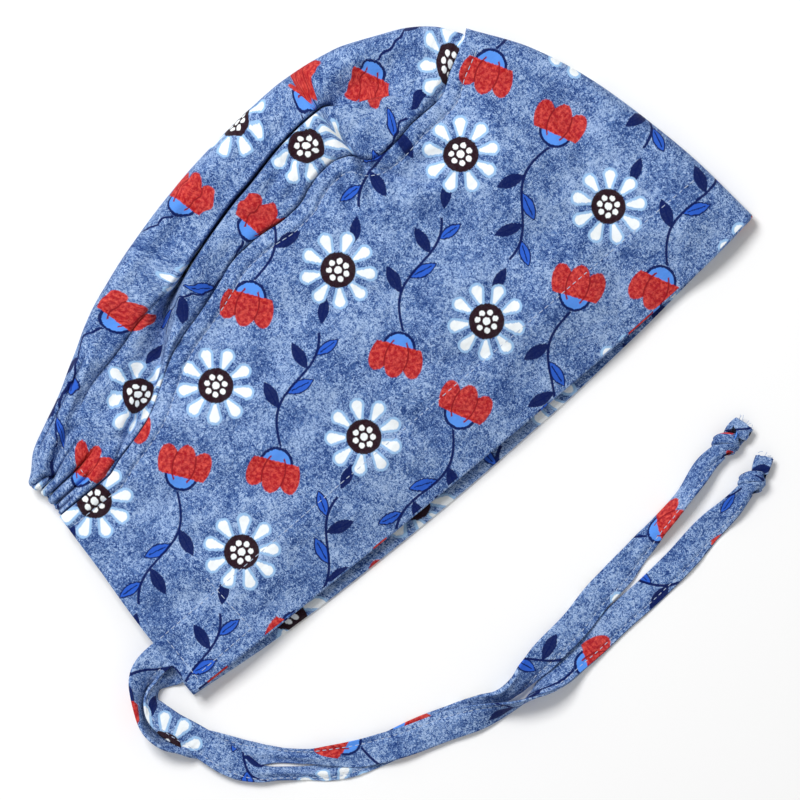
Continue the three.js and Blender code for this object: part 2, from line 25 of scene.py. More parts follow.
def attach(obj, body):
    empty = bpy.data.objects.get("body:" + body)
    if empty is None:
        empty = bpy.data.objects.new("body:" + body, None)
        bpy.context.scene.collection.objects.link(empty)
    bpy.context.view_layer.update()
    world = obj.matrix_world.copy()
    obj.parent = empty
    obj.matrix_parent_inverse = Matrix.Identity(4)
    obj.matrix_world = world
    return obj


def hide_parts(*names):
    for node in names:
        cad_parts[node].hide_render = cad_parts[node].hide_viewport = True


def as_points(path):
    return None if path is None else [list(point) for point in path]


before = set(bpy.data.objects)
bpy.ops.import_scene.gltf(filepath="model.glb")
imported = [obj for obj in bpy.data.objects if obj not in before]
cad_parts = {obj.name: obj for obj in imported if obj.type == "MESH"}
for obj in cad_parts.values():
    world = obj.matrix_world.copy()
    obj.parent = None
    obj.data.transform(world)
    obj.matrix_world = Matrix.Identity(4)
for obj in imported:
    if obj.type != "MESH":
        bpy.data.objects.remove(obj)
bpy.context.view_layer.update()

log = logging.getLogger("scrub_cap")
Array = NDArray[np.float64]
Line = Callable[[Array], Array]  # points of a line at shares of it from 0 to 1

MM = 0.001
ORIGIN = (145.499, 76.053)  # the row's origin in the cap's own frame, mm
LAYER_STEP = 1.3  # from the middle of one cloth layer to the middle of the next, mm
FLOOR_LAYER = 0.5  # height of the middle of the layer that lies on the surface, mm
BODY = "root"
UV_MAP = "cloth"
WHITE = (1.0, 1.0, 1.0, 1.0)


# Curves from tables


def tangents(slope: Array) -> Array:
    """Slopes of a curve at its rows, such that it never overshoots them.

    Args:
        slope: rise over run from each row to the next.

    Returns:
        The curve's slope at each row, level where the rows turn back.
    """
    before = np.concatenate((slope[:1], slope))
    after = np.concatenate((slope, slope[-1:]))
    same = before * after > 0
    return np.where(same, 2 * before * after / np.where(same, before + after, 1.0), 0.0)


def hermite(t: Array, start: Array, leave: Array, end: Array, arrive: Array) -> Array:
    """A cubic between two values.

    Args:
        t: from the start, 0, to the end, 1.
        start: value at the start.
        leave: slope there.
        end: value at the end.
        arrive: slope there.

    Returns:
        The value at t.
    """
    t2, t3 = t * t, t * t * t
    ends = (2 * t3 - 3 * t2 + 1) * start + (3 * t2 - 2 * t3) * end
    return ends + (t3 - 2 * t2 + t) * leave + (t3 - t2) * arrive


class Curve:
    """A smooth curve through a table's column, which never overshoots its rows."""

    def __init__(self, at: Sequence[float], value: Sequence[float]) -> None:
        """Works out the slope at each row.

        Args:
            at: where each row stands, increasing.
            value: the row's value.
        """
        self.x = np.asarray(at, float)
        self.y = np.asarray(value, float)
        self.slope = tangents(np.diff(self.y) / np.diff(self.x))

    def __call__(self, x: Array | float) -> Array:
        """The curve's value, held level past both ends.

        Args:
            x: where on the curve.

        Returns:
            The value at each place.
        """
        x = np.asarray(x, float)
        i = np.clip(np.searchsorted(self.x, x, side="right") - 1, 0, len(self.x) - 2)
        width = self.x[i + 1] - self.x[i]
        t = np.clip((x - self.x[i]) / width, 0, 1)
        leave, arrive = width * self.slope[i], width * self.slope[i + 1]
        return hermite(t, self.y[i], leave, self.y[i + 1], arrive)


def columns(rows: Sequence[Sequence[float]]) -> list[Curve]:
    """One curve for each column after a table's first, which says where each row stands."""
    table = np.asarray(rows, float)
    return [Curve(table[:, 0], table[:, k]) for k in range(1, table.shape[1])]


def mix(a: Array | float, b: Array | float, t: Array | float) -> Array:
    """Linear blend from a at t = 0 to b at t = 1."""
    return np.asarray(a + (b - a) * t, float)


def smooth(x: Array | float, low: float, high: float) -> Array:
    """0 below low, 1 above high and a soft step between, as GLSL's smoothstep."""
    t = np.clip((np.asarray(x, float) - low) / (high - low), 0, 1)
    return t * t * (3 - 2 * t)


def bell(x: Array | float, middle: float, width: float) -> Array:
    """A soft bump of height 1 at middle that falls to 1/e at width from it."""
    return np.exp(-(((np.asarray(x, float) - middle) / width) ** 2))


def ripple(x: Array, y: Array, seed: int, wave: float) -> Array:
    """Smooth noise of about unit height in the plane, for slack in cloth.

    Args:
        x: first coordinate, mm.
        y: second coordinate, mm.
        seed: picks the pattern.
        wave: typical wavelength, mm.

    Returns:
        The noise at each point.
    """
    rng = np.random.default_rng(seed)
    total = np.zeros(np.broadcast(x, y).shape)
    waves = 9
    for _ in range(waves):
        angle = rng.uniform(0, 2 * math.pi)
        length = wave * rng.uniform(0.7, 1.6)
        phase = rng.uniform(0, 2 * math.pi)
        along = x * math.cos(angle) + y * math.sin(angle)
        total = total + np.sin(2 * math.pi * along / length + phase)
    return total / math.sqrt(waves / 2)


def lengths(points: Array) -> Array:
    """Length along a line of points, from 0 at its first."""
    steps = np.linalg.norm(np.diff(points, axis=0), axis=1)
    return np.concatenate(([0.0], np.cumsum(steps)))


def unit(vectors: Array) -> Array:
    """Vectors of the same directions with a length of 1."""
    return vectors / np.linalg.norm(vectors, axis=1)[:, None]


# The cap's outline and layers

BRIM_LENGTH = 292.0
BACK_X = 5.0  # of the back edge's top end, mm
BACK_Y = 87.5  # and its y
CROWN_TIP_X = 254.0  # of the front end of the seam, mm
CROWN_END_X = 251.4  # of the crown's last column, mm
SEAM_LAP = 5.0  # of the crown under the band, mm
FOLD_RADIUS = (4.2, 6.6)  # of the front fold at the brim and at the seam, mm

NEAR_BRIM = columns(
    [(0, 0), (60, -2), (130, -3.7), (200, -4.4), (260, -3.6), (BRIM_LENGTH, -1)]
)[0]
FAR_BRIM = columns(
    [(-1.5, -0.2), (40, -5), (80, -7.5), (135, -8.8), (180, -8.4), (230, -6.3)]
    + [(262, -3.6), (BRIM_LENGTH, -1)]
)[0]
BACK_EDGE = columns([(0, 0), (26, 0.5), (60, 3), (BACK_Y, BACK_X)])[0]
SEAM = columns(
    [(BACK_X, 87.3), (20, 86.9), (30, 86.6), (38, 88.9), (45, 90.4), (55, 93), (61, 95.4)]
    + [(70, 100.6), (76, 104), (82, 107), (90, 109.7), (100, 112), (107, 113.8), (115, 116.3)]
    + [(122, 118.6), (128, 119.5), (134, 119.6), (140, 119.2), (150, 118), (156, 118.3)]
    + [(160, 119), (165, 121), (172, 122.6), (178, 122.8), (183, 121.5), (186.4, 119.6)]
    + [(188, 117), (190, 114.5), (193, 112.9), (199, 112.2), (205, 112.8), (213, 114)]
    + [(222, 114.1), (228, 114.5), (232, 116.2), (237, 119.6), (243, 122.6), (250, 126.3)]
    + [(CROWN_TIP_X, 129.5)]
)[0]
FRONT_EDGE = [(BRIM_LENGTH, -1), (289.5, 28), (285.5, 52), (279, 80), (269, 106)] + [
    (CROWN_TIP_X, 129.5)
]
BRIM_HEIGHT, SEAM_HEIGHT = columns(
    [
        # x, height of the near layer at the brim, and at the seam
        (-2, 10.2, 10.4),
        (45, 11.5, 12.6),
        (85, 12.8, 17),
        (127, 13.4, 21.5),
        (173, 13.2, 24),
        (212, 12.4, 21),
        (243, 11.2, 16.4),
        (BRIM_LENGTH, 8.9, 13.7),
    ]
)


@dataclass(frozen=True)
class Crease:
    """A fold line on the cloth: a soft or sharp hollow, or a ridge if its depth is below 0.

    Attributes:
        points: x and y of the line's corners, mm.
        depth: how deep it is at each corner, mm.
        width: how far to each side it reaches, mm.
        power: 1 for a V, 2 for a round bottom and more for a slit with steep sides.
    """

    points: tuple[tuple[float, float], ...]
    depth: tuple[float, ...]
    width: float
    power: float = 2.0

    def height(self, x: Array, y: Array) -> Array:
        """What the crease adds to the cloth's height.

        Args:
            x: first coordinate of each point, mm.
            y: second coordinate, mm.

        Returns:
            The change of height at each point, mm.
        """
        best = np.full(x.shape, np.inf)
        depth = np.zeros(x.shape)
        pairs = zip(self.points, self.points[1:], self.depth, self.depth[1:])
        for (x0, y0), (x1, y1), d0, d1 in pairs:
            length2 = (x1 - x0) ** 2 + (y1 - y0) ** 2
            t = np.clip(((x - x0) * (x1 - x0) + (y - y0) * (y1 - y0)) / length2, 0, 1)
            away = np.hypot(x - mix(x0, x1, t), y - mix(y0, y1, t))
            closer = away < best
            best = np.where(closer, away, best)
            depth = np.where(closer, mix(d0, d1, t), depth)
        return -depth * np.exp(-((best / self.width) ** self.power))


def pleat(
    points: tuple[tuple[float, float], ...], depth: tuple[float, ...]
) -> tuple[Crease, Crease]:
    """A slit between two pleats, and the roundness of the pleats beside it.

    Args:
        points: x and y of the slit's corners, mm.
        depth: how deep it is at each corner, mm.

    Returns:
        The slit and a softer, wider valley along it.
    """
    slit = Crease(points, depth, width=0.85, power=3.5)
    valley = Crease(points, tuple(0.3 * d for d in depth), width=1.9)
    return slit, valley


class Outline:
    """The side band's middle surface, from the same tables as the CAD model's."""

    SAMPLES = 400  # of the front edge
    FAR_BACK = -1.5  # x of the far side's back corner, mm
    BULGE = 3.2  # of the near side between the brim and the seam, mm
    TUCK = (188.0, 117.5, 7.0, 9.0, 3.6)  # x, y, half widths and depth of the caught tuck, mm

    def __init__(self) -> None:
        """Samples the front edge by its length."""
        knots = np.asarray(FRONT_EDGE, float)
        t = np.arange(len(knots))
        fine = np.linspace(0, len(knots) - 1, self.SAMPLES)
        self.line = np.stack([Curve(t, knots[:, k])(fine) for k in (0, 1)], axis=1)
        self.share = lengths(self.line) / lengths(self.line)[-1]

    def front(self, t: Array) -> tuple[Array, Array]:
        """x and y of the front edge at a share t of its length."""
        x, y = (np.interp(t, self.share, self.line[:, k]) for k in (0, 1))
        return x, y

    def near_height(self, x: Array, y: Array) -> Array:
        """Height of the middle of the side band's near layer, without its fine folds.

        Args:
            x: first coordinate of each point, mm.
            y: second coordinate, mm.

        Returns:
            The height at each point, mm.
        """
        brim = NEAR_BRIM(x)
        up = np.clip((y - brim) / (SEAM(np.minimum(x, CROWN_TIP_X)) - brim), 0, 1)
        bulge = self.BULGE * smooth(x, 20, 70) * np.sin(math.pi * up)
        tuck_x, tuck_y, half_x, half_y, depth = self.TUCK
        tuck = depth * np.exp(-(((x - tuck_x) / half_x) ** 2) - ((y - tuck_y) / half_y) ** 2)
        return mix(BRIM_HEIGHT(x), SEAM_HEIGHT(x), up) + bulge - tuck

    def flat(self, w: Array, t: Array, near: Array) -> tuple[Array, Array]:
        """A place on the band seen from above.

        Args:
            w: from the front fold, 0, to the back edge, 1.
            t: from the brim, 0, to the seam, 1.
            near: whether the place is on the near side.

        Returns:
            x and y in mm, blended from the four edges of the side.
        """
        corner_x, corner_y = FRONT_EDGE[0]
        tip_x, tip_y = FRONT_EDGE[-1]
        back_x = np.where(near, 0.0, self.FAR_BACK)
        brim_x = mix(corner_x, back_x, w)
        brim_y = np.where(near, NEAR_BRIM(brim_x), FAR_BRIM(brim_x))
        seam_x = mix(tip_x, BACK_X, w)
        back_y = np.where(near, NEAR_BRIM(0.0), FAR_BRIM(self.FAR_BACK))
        edge_y = mix(back_y, BACK_Y, t)
        shift = np.where(near, 0.0, self.FAR_BACK * (1 - smooth(edge_y, 0, 40)))
        edge_x = BACK_EDGE(edge_y) + shift
        front_x, front_y = self.front(t)
        base_y = mix(mix(corner_y, back_y, w), mix(tip_y, BACK_Y, w), t)
        x = mix(front_x, edge_x, w)
        y = mix(brim_y, SEAM(seam_x), t) + mix(front_y, edge_y, w) - base_y
        return x, y

    def band(
        self, place: Array, t: Array, inset: Array | float = 0.0
    ) -> tuple[Array, Array, Array, Array]:
        """Points of the side band, or of a layer inside it.

        Args:
            place: from -1 at the near back edge, over 0 at the fold, to 1 at the far one.
            t: from the brim, 0, to the seam, 1.
            inset: how far inside the band's middle surface the points lie, mm.

        Returns:
            x, y and z in mm, and the length of cloth from the fold to each point.
        """
        near = place < 0
        radius = mix(FOLD_RADIUS[0], FOLD_RADIUS[1], t) - inset
        length = mix(BRIM_LENGTH, CROWN_TIP_X - BACK_X, t)
        arc = np.abs(place) * length
        quarter = radius * math.pi / 2
        turn = np.minimum(arc / radius, math.pi / 2)
        inward = inset + radius * (1 - np.cos(turn)) + np.maximum(arc - quarter, 0)
        shrink = (length - inset) / (length - radius * (math.pi / 2 - 1))
        x, y = self.flat(np.minimum(inward * shrink / length, 1), t, near)
        middle = FLOOR_LAYER + mix(FOLD_RADIUS[0], FOLD_RADIUS[1], t)
        level = np.where(near, self.near_height(x, y) - inset, FLOOR_LAYER + inset)
        z = mix(middle, level, np.sin(turn))
        return x, y, z, arc


OUTLINE = Outline()


# Meshes


def place(points: Array) -> Array:
    """Turns mm in the cap's own frame into metres in the row's frame."""
    return (points - np.array([*ORIGIN, 0.0])) * MM


def grid(across: int, along: int) -> tuple[BMesh, Array, Array]:
    """A grid of cells, and its vertices' two parameters.

    Args:
        across: number of cells in its first direction.
        along: number of cells in its second direction.

    Returns:
        The grid, and both parameters of each vertex, from 0 to 1.
    """
    bm = bmesh.new()
    bmesh.ops.create_grid(bm, x_segments=across, y_segments=along, size=0.5)
    co = np.array([v.co[:] for v in bm.verts]) + 0.5
    return bm, co[:, 0], co[:, 1]


def mesh_of(name: str, bm: BMesh, material: Material) -> Mesh:
    """Makes a smooth mesh of a bmesh.

    Args:
        name: the mesh's name.
        bm: its vertices and faces, which are freed.
        material: its finish.

    Returns:
        The mesh.
    """
    mesh = bpy.data.meshes.new(name)
    bm.to_mesh(mesh)
    bm.free()
    mesh.materials.append(material)
    mesh.shade_smooth()
    return mesh


def linked(name: str, data: ID) -> Object:
    """Makes a new object in the scene.

    Args:
        name: its name.
        data: its mesh, curve, light or camera.

    Returns:
        The object.
    """
    obj = bpy.data.objects.new(name, data)
    bpy.context.scene.collection.objects.link(obj)
    return obj


def piece(name: str, data: ID) -> Object:
    """Makes a new object that rides on the cap's body.

    Args:
        name: its name.
        data: its mesh or curve.

    Returns:
        The object.
    """
    obj = linked(name, data)
    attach(obj, BODY)
    return obj


@dataclass
class Sheet:
    """A piece of cloth made from a grid, thickened and rounded at its edges.

    Attributes:
        name: the piece's name.
        columns: number of cells along the grid's first direction.
        rows: number of cells along its second direction.
        thickness: of the cloth, mm.
    """

    name: str
    columns: int
    rows: int
    thickness: float = 0.8

    ROUNDING = 0.42  # width of the rounded edge, as a share of the thickness
    EDGE_ANGLE = 62.0  # least angle that counts as an edge, degrees

    def parameters(self) -> tuple[BMesh, Array, Array]:
        """The sheet's grid, and its vertices' two parameters."""
        return grid(self.columns, self.rows)

    def build(
        self, points: Array, uv: Array, bm: BMesh, material: Material
    ) -> Object:
        """Moves the grid's vertices to their places and makes the piece.

        Args:
            points: x, y and z of each vertex, mm in the cap's own frame.
            uv: where each vertex lies on the flat cloth, mm.
            bm: the grid.
            material: its finish.

        Returns:
            The new object.
        """
        mesh = mesh_of(self.name, bm, material)
        mesh.vertices.foreach_set("co", place(points).astype(np.float32).ravel())
        corners = np.empty(len(mesh.loops), np.int32)
        mesh.loops.foreach_get("vertex_index", corners)
        layer = mesh.uv_layers.new(name=UV_MAP)
        layer.data.foreach_set("uv", (uv[corners] * MM).astype(np.float32).ravel())
        mesh.update()
        obj = piece(self.name, mesh)
        thick = obj.modifiers.new("cloth", "SOLIDIFY")
        thick.thickness = self.thickness * MM
        thick.offset = 0
        thick.use_even_offset = False
        edge = obj.modifiers.new("edge", "BEVEL")
        edge.affect = "EDGES"
        edge.width = self.thickness * self.ROUNDING * MM
        edge.segments = 2
        edge.profile = 0.5
        edge.material = -1
        edge.limit_method = "ANGLE"
        edge.angle_limit = math.radians(self.EDGE_ANGLE)
        return obj


# Side band and brim hem


class HemLine:
    """Where the hem's stitches run on the near side, mm."""

    HEIGHT = 24.8
    SEAM_STITCH = 6.0  # below the band's folded top edge


class NearSide:
    """The near side of the band with its fine folds, as one height over the plane."""

    CREASES = (
        Crease(
            ((187.4, 119), (187.8, 115), (189.5, 111), (191.5, 105)),
            (3.4, 2.8, 1.6, 0.0),
            1.2,
            1.0,
        ),
        Crease(((184.6, 119), (184.4, 115), (183.6, 110)), (-1.4, -1.2, 0.0), 1.6),
        Crease(((190.4, 115), (192.6, 112), (195, 109)), (-1.2, -1.0, 0.0), 1.5),
        Crease(((187, 112), (183, 103), (177, 96)), (1.6, 1.6, 0.0), 2.6),
        Crease(((193, 111), (198, 107), (206, 105)), (0.5, 0.5, 0.0), 2.2),
        Crease(((197, 106), (206, 99), (216, 96), (228, 99)), (0.8, 3.4, 2.8, 0.4), 4.2),
        Crease(((187.6, 115), (191.7, 105.6), (201, 93), (212, 88)), (1.4, 3.2, 3.0, 0.4), 2.8),
        Crease(((196, 92), (208, 90), (222, 93)), (-1.0, -1.2, -0.2), 4.0),
        Crease(((178, 114), (174, 106), (167, 98)), (1.2, 1.4, 0.0), 2.8),
        Crease(((182, 115), (179, 108), (173, 100)), (-0.9, -0.9, 0.0), 2.2),
        Crease(((62, 96), (56, 88), (52, 80)), (1.0, 1.0, 0.0), 3.0),
        Crease(((72, 100), (69, 92), (65, 82)), (1.2, 1.0, 0.0), 3.2),
        Crease(((86, 108), (88, 99), (90, 90)), (1.0, 0.9, 0.0), 3.2),
        Crease(((131, 118), (135, 110), (140, 103)), (1.1, 0.9, 0.0), 3.2),
        Crease(((158, 117), (156, 109), (151, 99)), (1.2, 1.1, 0.0), 3.4),
        Crease(((226, 113), (224, 106), (219, 99)), (1.1, 1.1, 0.0), 3.4),
        Crease(((34, 60), (60, 66), (96, 62)), (0.5, 0.7, 0.0), 7.0),
        Crease(((110, 84), (150, 74), (196, 80)), (0.5, 0.8, 0.0), 8.0),
        Crease(((200, 40), (235, 52), (262, 74)), (0.5, 0.9, 0.2), 8.0),
        Crease(((20, 34), (60, 42), (110, 36)), (-0.4, -0.6, 0.0), 6.0),
    )
    SLACK = ((1.1, 3, 58.0), (0.42, 8, 22.0), (0.1, 4, 9.0))  # height, seed and wavelength, mm
    DROOP = 6.6  # of the near brim towards the far one, mm

    def below_seam(self, x: Array, y: Array) -> Array:
        """Distance from a point to the band's folded top edge, mm."""
        slope = (SEAM(x + 1) - SEAM(x - 1)) / 2
        return (SEAM(np.minimum(x, CROWN_TIP_X)) - y) / np.sqrt(1 + slope**2)

    def seam_relief(self, x: Array, down: Array) -> Array:
        """The band's folded edge, its topstitch's groove and the puckers along it.

        Args:
            x: first coordinate of each point, mm.
            down: distance below the folded edge, mm.

        Returns:
            The change of height at each point, mm.
        """
        stitch = HemLine.SEAM_STITCH
        puff = 0.8 * (1 - smooth(down, stitch - 2.2, stitch + 0.4))
        folded = np.clip(1 - (down + 0.1) / 1.3, 0, 1)
        rounding = 1.2 * (1 - np.sqrt(1 - folded**2))
        groove = 0.5 * bell(down, stitch, 0.9)
        pucker = 0.4 * np.sin(x / 1.25 + 1.6 * np.sin(x / 9)) * bell(down, stitch + 0.6, 3.4)
        return puff - rounding - groove + pucker

    def hem_relief(self, x: Array, y: Array) -> Array:
        """The hem's layers, its stitch line's groove and the puckers along it.

        Args:
            x: first coordinate of each point, mm.
            y: second coordinate, mm.

        Returns:
            The change of height at each point, mm.
        """
        up = y - HemLine.HEIGHT
        layers = 0.4 * (1 - smooth(up, -0.8, 1.4))
        groove = 0.35 * bell(up, 0, 0.8)
        pucker = 0.2 * np.sin(x / 1.4 + 1.3 * np.sin(x / 13)) * bell(up, 0.4, 3.6)
        return layers - groove + pucker

    def detail(self, x: Array, y: Array) -> Array:
        """What stitching, layers and slack add to the smooth surface.

        Args:
            x: first coordinate of each point, mm.
            y: second coordinate, mm.

        Returns:
            The change of height at each point, mm.
        """
        down = self.below_seam(x, y)
        slack = sum(size * ripple(x, y, seed, wave) for size, seed, wave in self.SLACK)
        inside = smooth(y, 0, 14) * smooth(down, 0, 10)
        droop = self.DROOP * (smooth(y - NEAR_BRIM(x), -14, 34) - 1)
        droop = droop * smooth(x, 20, 74) * (1 - smooth(x, 240, 284))
        total = self.seam_relief(x, down) + self.hem_relief(x, y) + droop
        total = total + slack * (0.25 + 0.75 * inside)
        for crease in self.CREASES:
            total = total + crease.height(x, y)
        return total

    def height(self, x: Array, y: Array) -> Array:
        """Height of the middle of the near layer, fine folds included, mm."""
        return OUTLINE.near_height(x, y) + self.detail(x, y)


NEAR = NearSide()


def near_fade(around: Array, arc: Array) -> Array:
    """1 on the near side of the band, which fades to 0 at the fold."""
    return smooth(arc, 3, 16) * (around < 0)


@dataclass
class SideBand:
    """The tall side band: one strip of cloth round the forehead.

    Attributes:
        near: cells along the near side.
        fold: cells round the front fold.
        far: cells along the far side.
        rows: cells from the brim to the seam.
    """

    near: int = 220
    fold: int = 20
    far: int = 50
    rows: int = 128

    ROWS = (0, 0.05, 0.7, 1)  # shares of the grid's rows, close together at both edges
    HEIGHTS = (0, 0.02, 0.925, 1)  # and the height on the band that each stands at

    def cells(self) -> int:
        """Number of cells round the band."""
        return self.near + self.fold + self.far

    def places(self, share: Array, t: Array) -> Array:
        """Places of the grid's columns, which lie close together round the fold.

        Args:
            share: the column's share of the grid, from 0 to 1.
            t: from the brim, 0, to the seam, 1.

        Returns:
            The place of each point round the band, from -1 to 1.
        """
        length = mix(BRIM_LENGTH, CROWN_TIP_X - BACK_X, t)
        fold = mix(FOLD_RADIUS[0], FOLD_RADIUS[1], t) * math.pi / 2 / length
        cell = share * self.cells()
        near = -mix(1, fold, cell / self.near)
        turn = mix(-fold, fold, (cell - self.near) / self.fold)
        far = mix(fold, 1, (cell - self.near - self.fold) / self.far)
        far_or_turn = np.where(cell <= self.near + self.fold, turn, far)
        return np.clip(np.where(cell <= self.near, near, far_or_turn), -1, 1)

    def build(self, material: Material) -> Object:
        """Makes the band in place of its CAD solid.

        Args:
            material: its finish.

        Returns:
            The piece.
        """
        sheet = Sheet("side_band_cloth", self.cells(), self.rows)
        bm, share, row = sheet.parameters()
        t = np.interp(row, self.ROWS, self.HEIGHTS)
        around = self.places(share, t)
        x, y, z, arc = OUTLINE.band(around, t)
        z = z + near_fade(around, arc) * NEAR.detail(x, y)
        front_x, _ = OUTLINE.front(t)
        slack = mix(FOLD_RADIUS[0], FOLD_RADIUS[1], t) * (math.pi / 2 - 1)
        u = front_x + slack + np.where(around < 0, -arc, arc)
        u = np.where(around < 0, mix(u, x, smooth(arc, 6, 40)), u)
        points = np.stack([x, y, z], axis=1)
        obj = sheet.build(points, np.stack([u, y], axis=1), bm, material)
        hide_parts("side_band")
        return obj


@dataclass
class BrimHem:
    """The turned-up hem inside the brim, which is the ties' casing.

    Attributes:
        band: the side band, for its columns.
        width: of the hem, mm.
        rows: cells across the hem.
        thickness: of its cloth, mm.
    """

    band: SideBand
    width: float = 26.0
    rows: int = 26
    thickness: float = 0.7

    TURNED = 0.16  # share of its rows that lie round the fold at the brim
    TIE_ROOM = (44.0, 28.0, 1.7)  # ends of its rise from the back corner, and its height, mm
    CUT_FROM = (40.0, -9.0)  # shift on the printed cloth, mm

    def build(self, material: Material) -> Object:
        """Makes the hem in place of its CAD solid.

        Args:
            material: its finish.

        Returns:
            The piece.
        """
        sheet = Sheet("brim_hem_cloth", self.band.cells() // 2, self.rows, self.thickness)
        bm, share, across = sheet.parameters()
        around = self.band.places(share, np.zeros_like(share))
        start, full, room = self.TIE_ROOM
        from_fold = np.abs(around) * BRIM_LENGTH
        filled = room * smooth(from_fold, BRIM_LENGTH - start, BRIM_LENGTH - full)
        inset = (LAYER_STEP + 0.15 + filled) * smooth(across, 0, self.TURNED)
        half = self.TURNED / 2
        up = self.width * np.maximum(across - half, 0) / (1 - half)
        height = SEAM(mix(CROWN_TIP_X, BACK_X, np.abs(around))) + 4
        x, y, z, arc = OUTLINE.band(around, up / height, inset)
        bulge = 0.55 * np.sin(math.pi * np.minimum(across / self.TURNED, 1))
        z = z + near_fade(around, arc) * NEAR.detail(x, y)
        z = z + 0.25 * ripple(x, y, 21, 17) * smooth(across, 0.5, 1) * (arc > 14)
        points = np.stack([x, y - bulge, z], axis=1)
        shift_u, shift_v = self.CUT_FROM
        uv = np.stack([np.where(around < 0, -arc, arc) + shift_u, shift_v - up], axis=1)
        obj = sheet.build(points, uv, bm, material)
        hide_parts("brim_hem")
        return obj


# Crown


@dataclass(frozen=True)
class Edge:
    """The crown's outline beside each of its points.

    Attributes:
        y: of the outline, mm.
        middle: height of its middle, mm.
        curl: reach of the far side's curl, mm.
    """

    y: Array
    middle: Array
    curl: Array


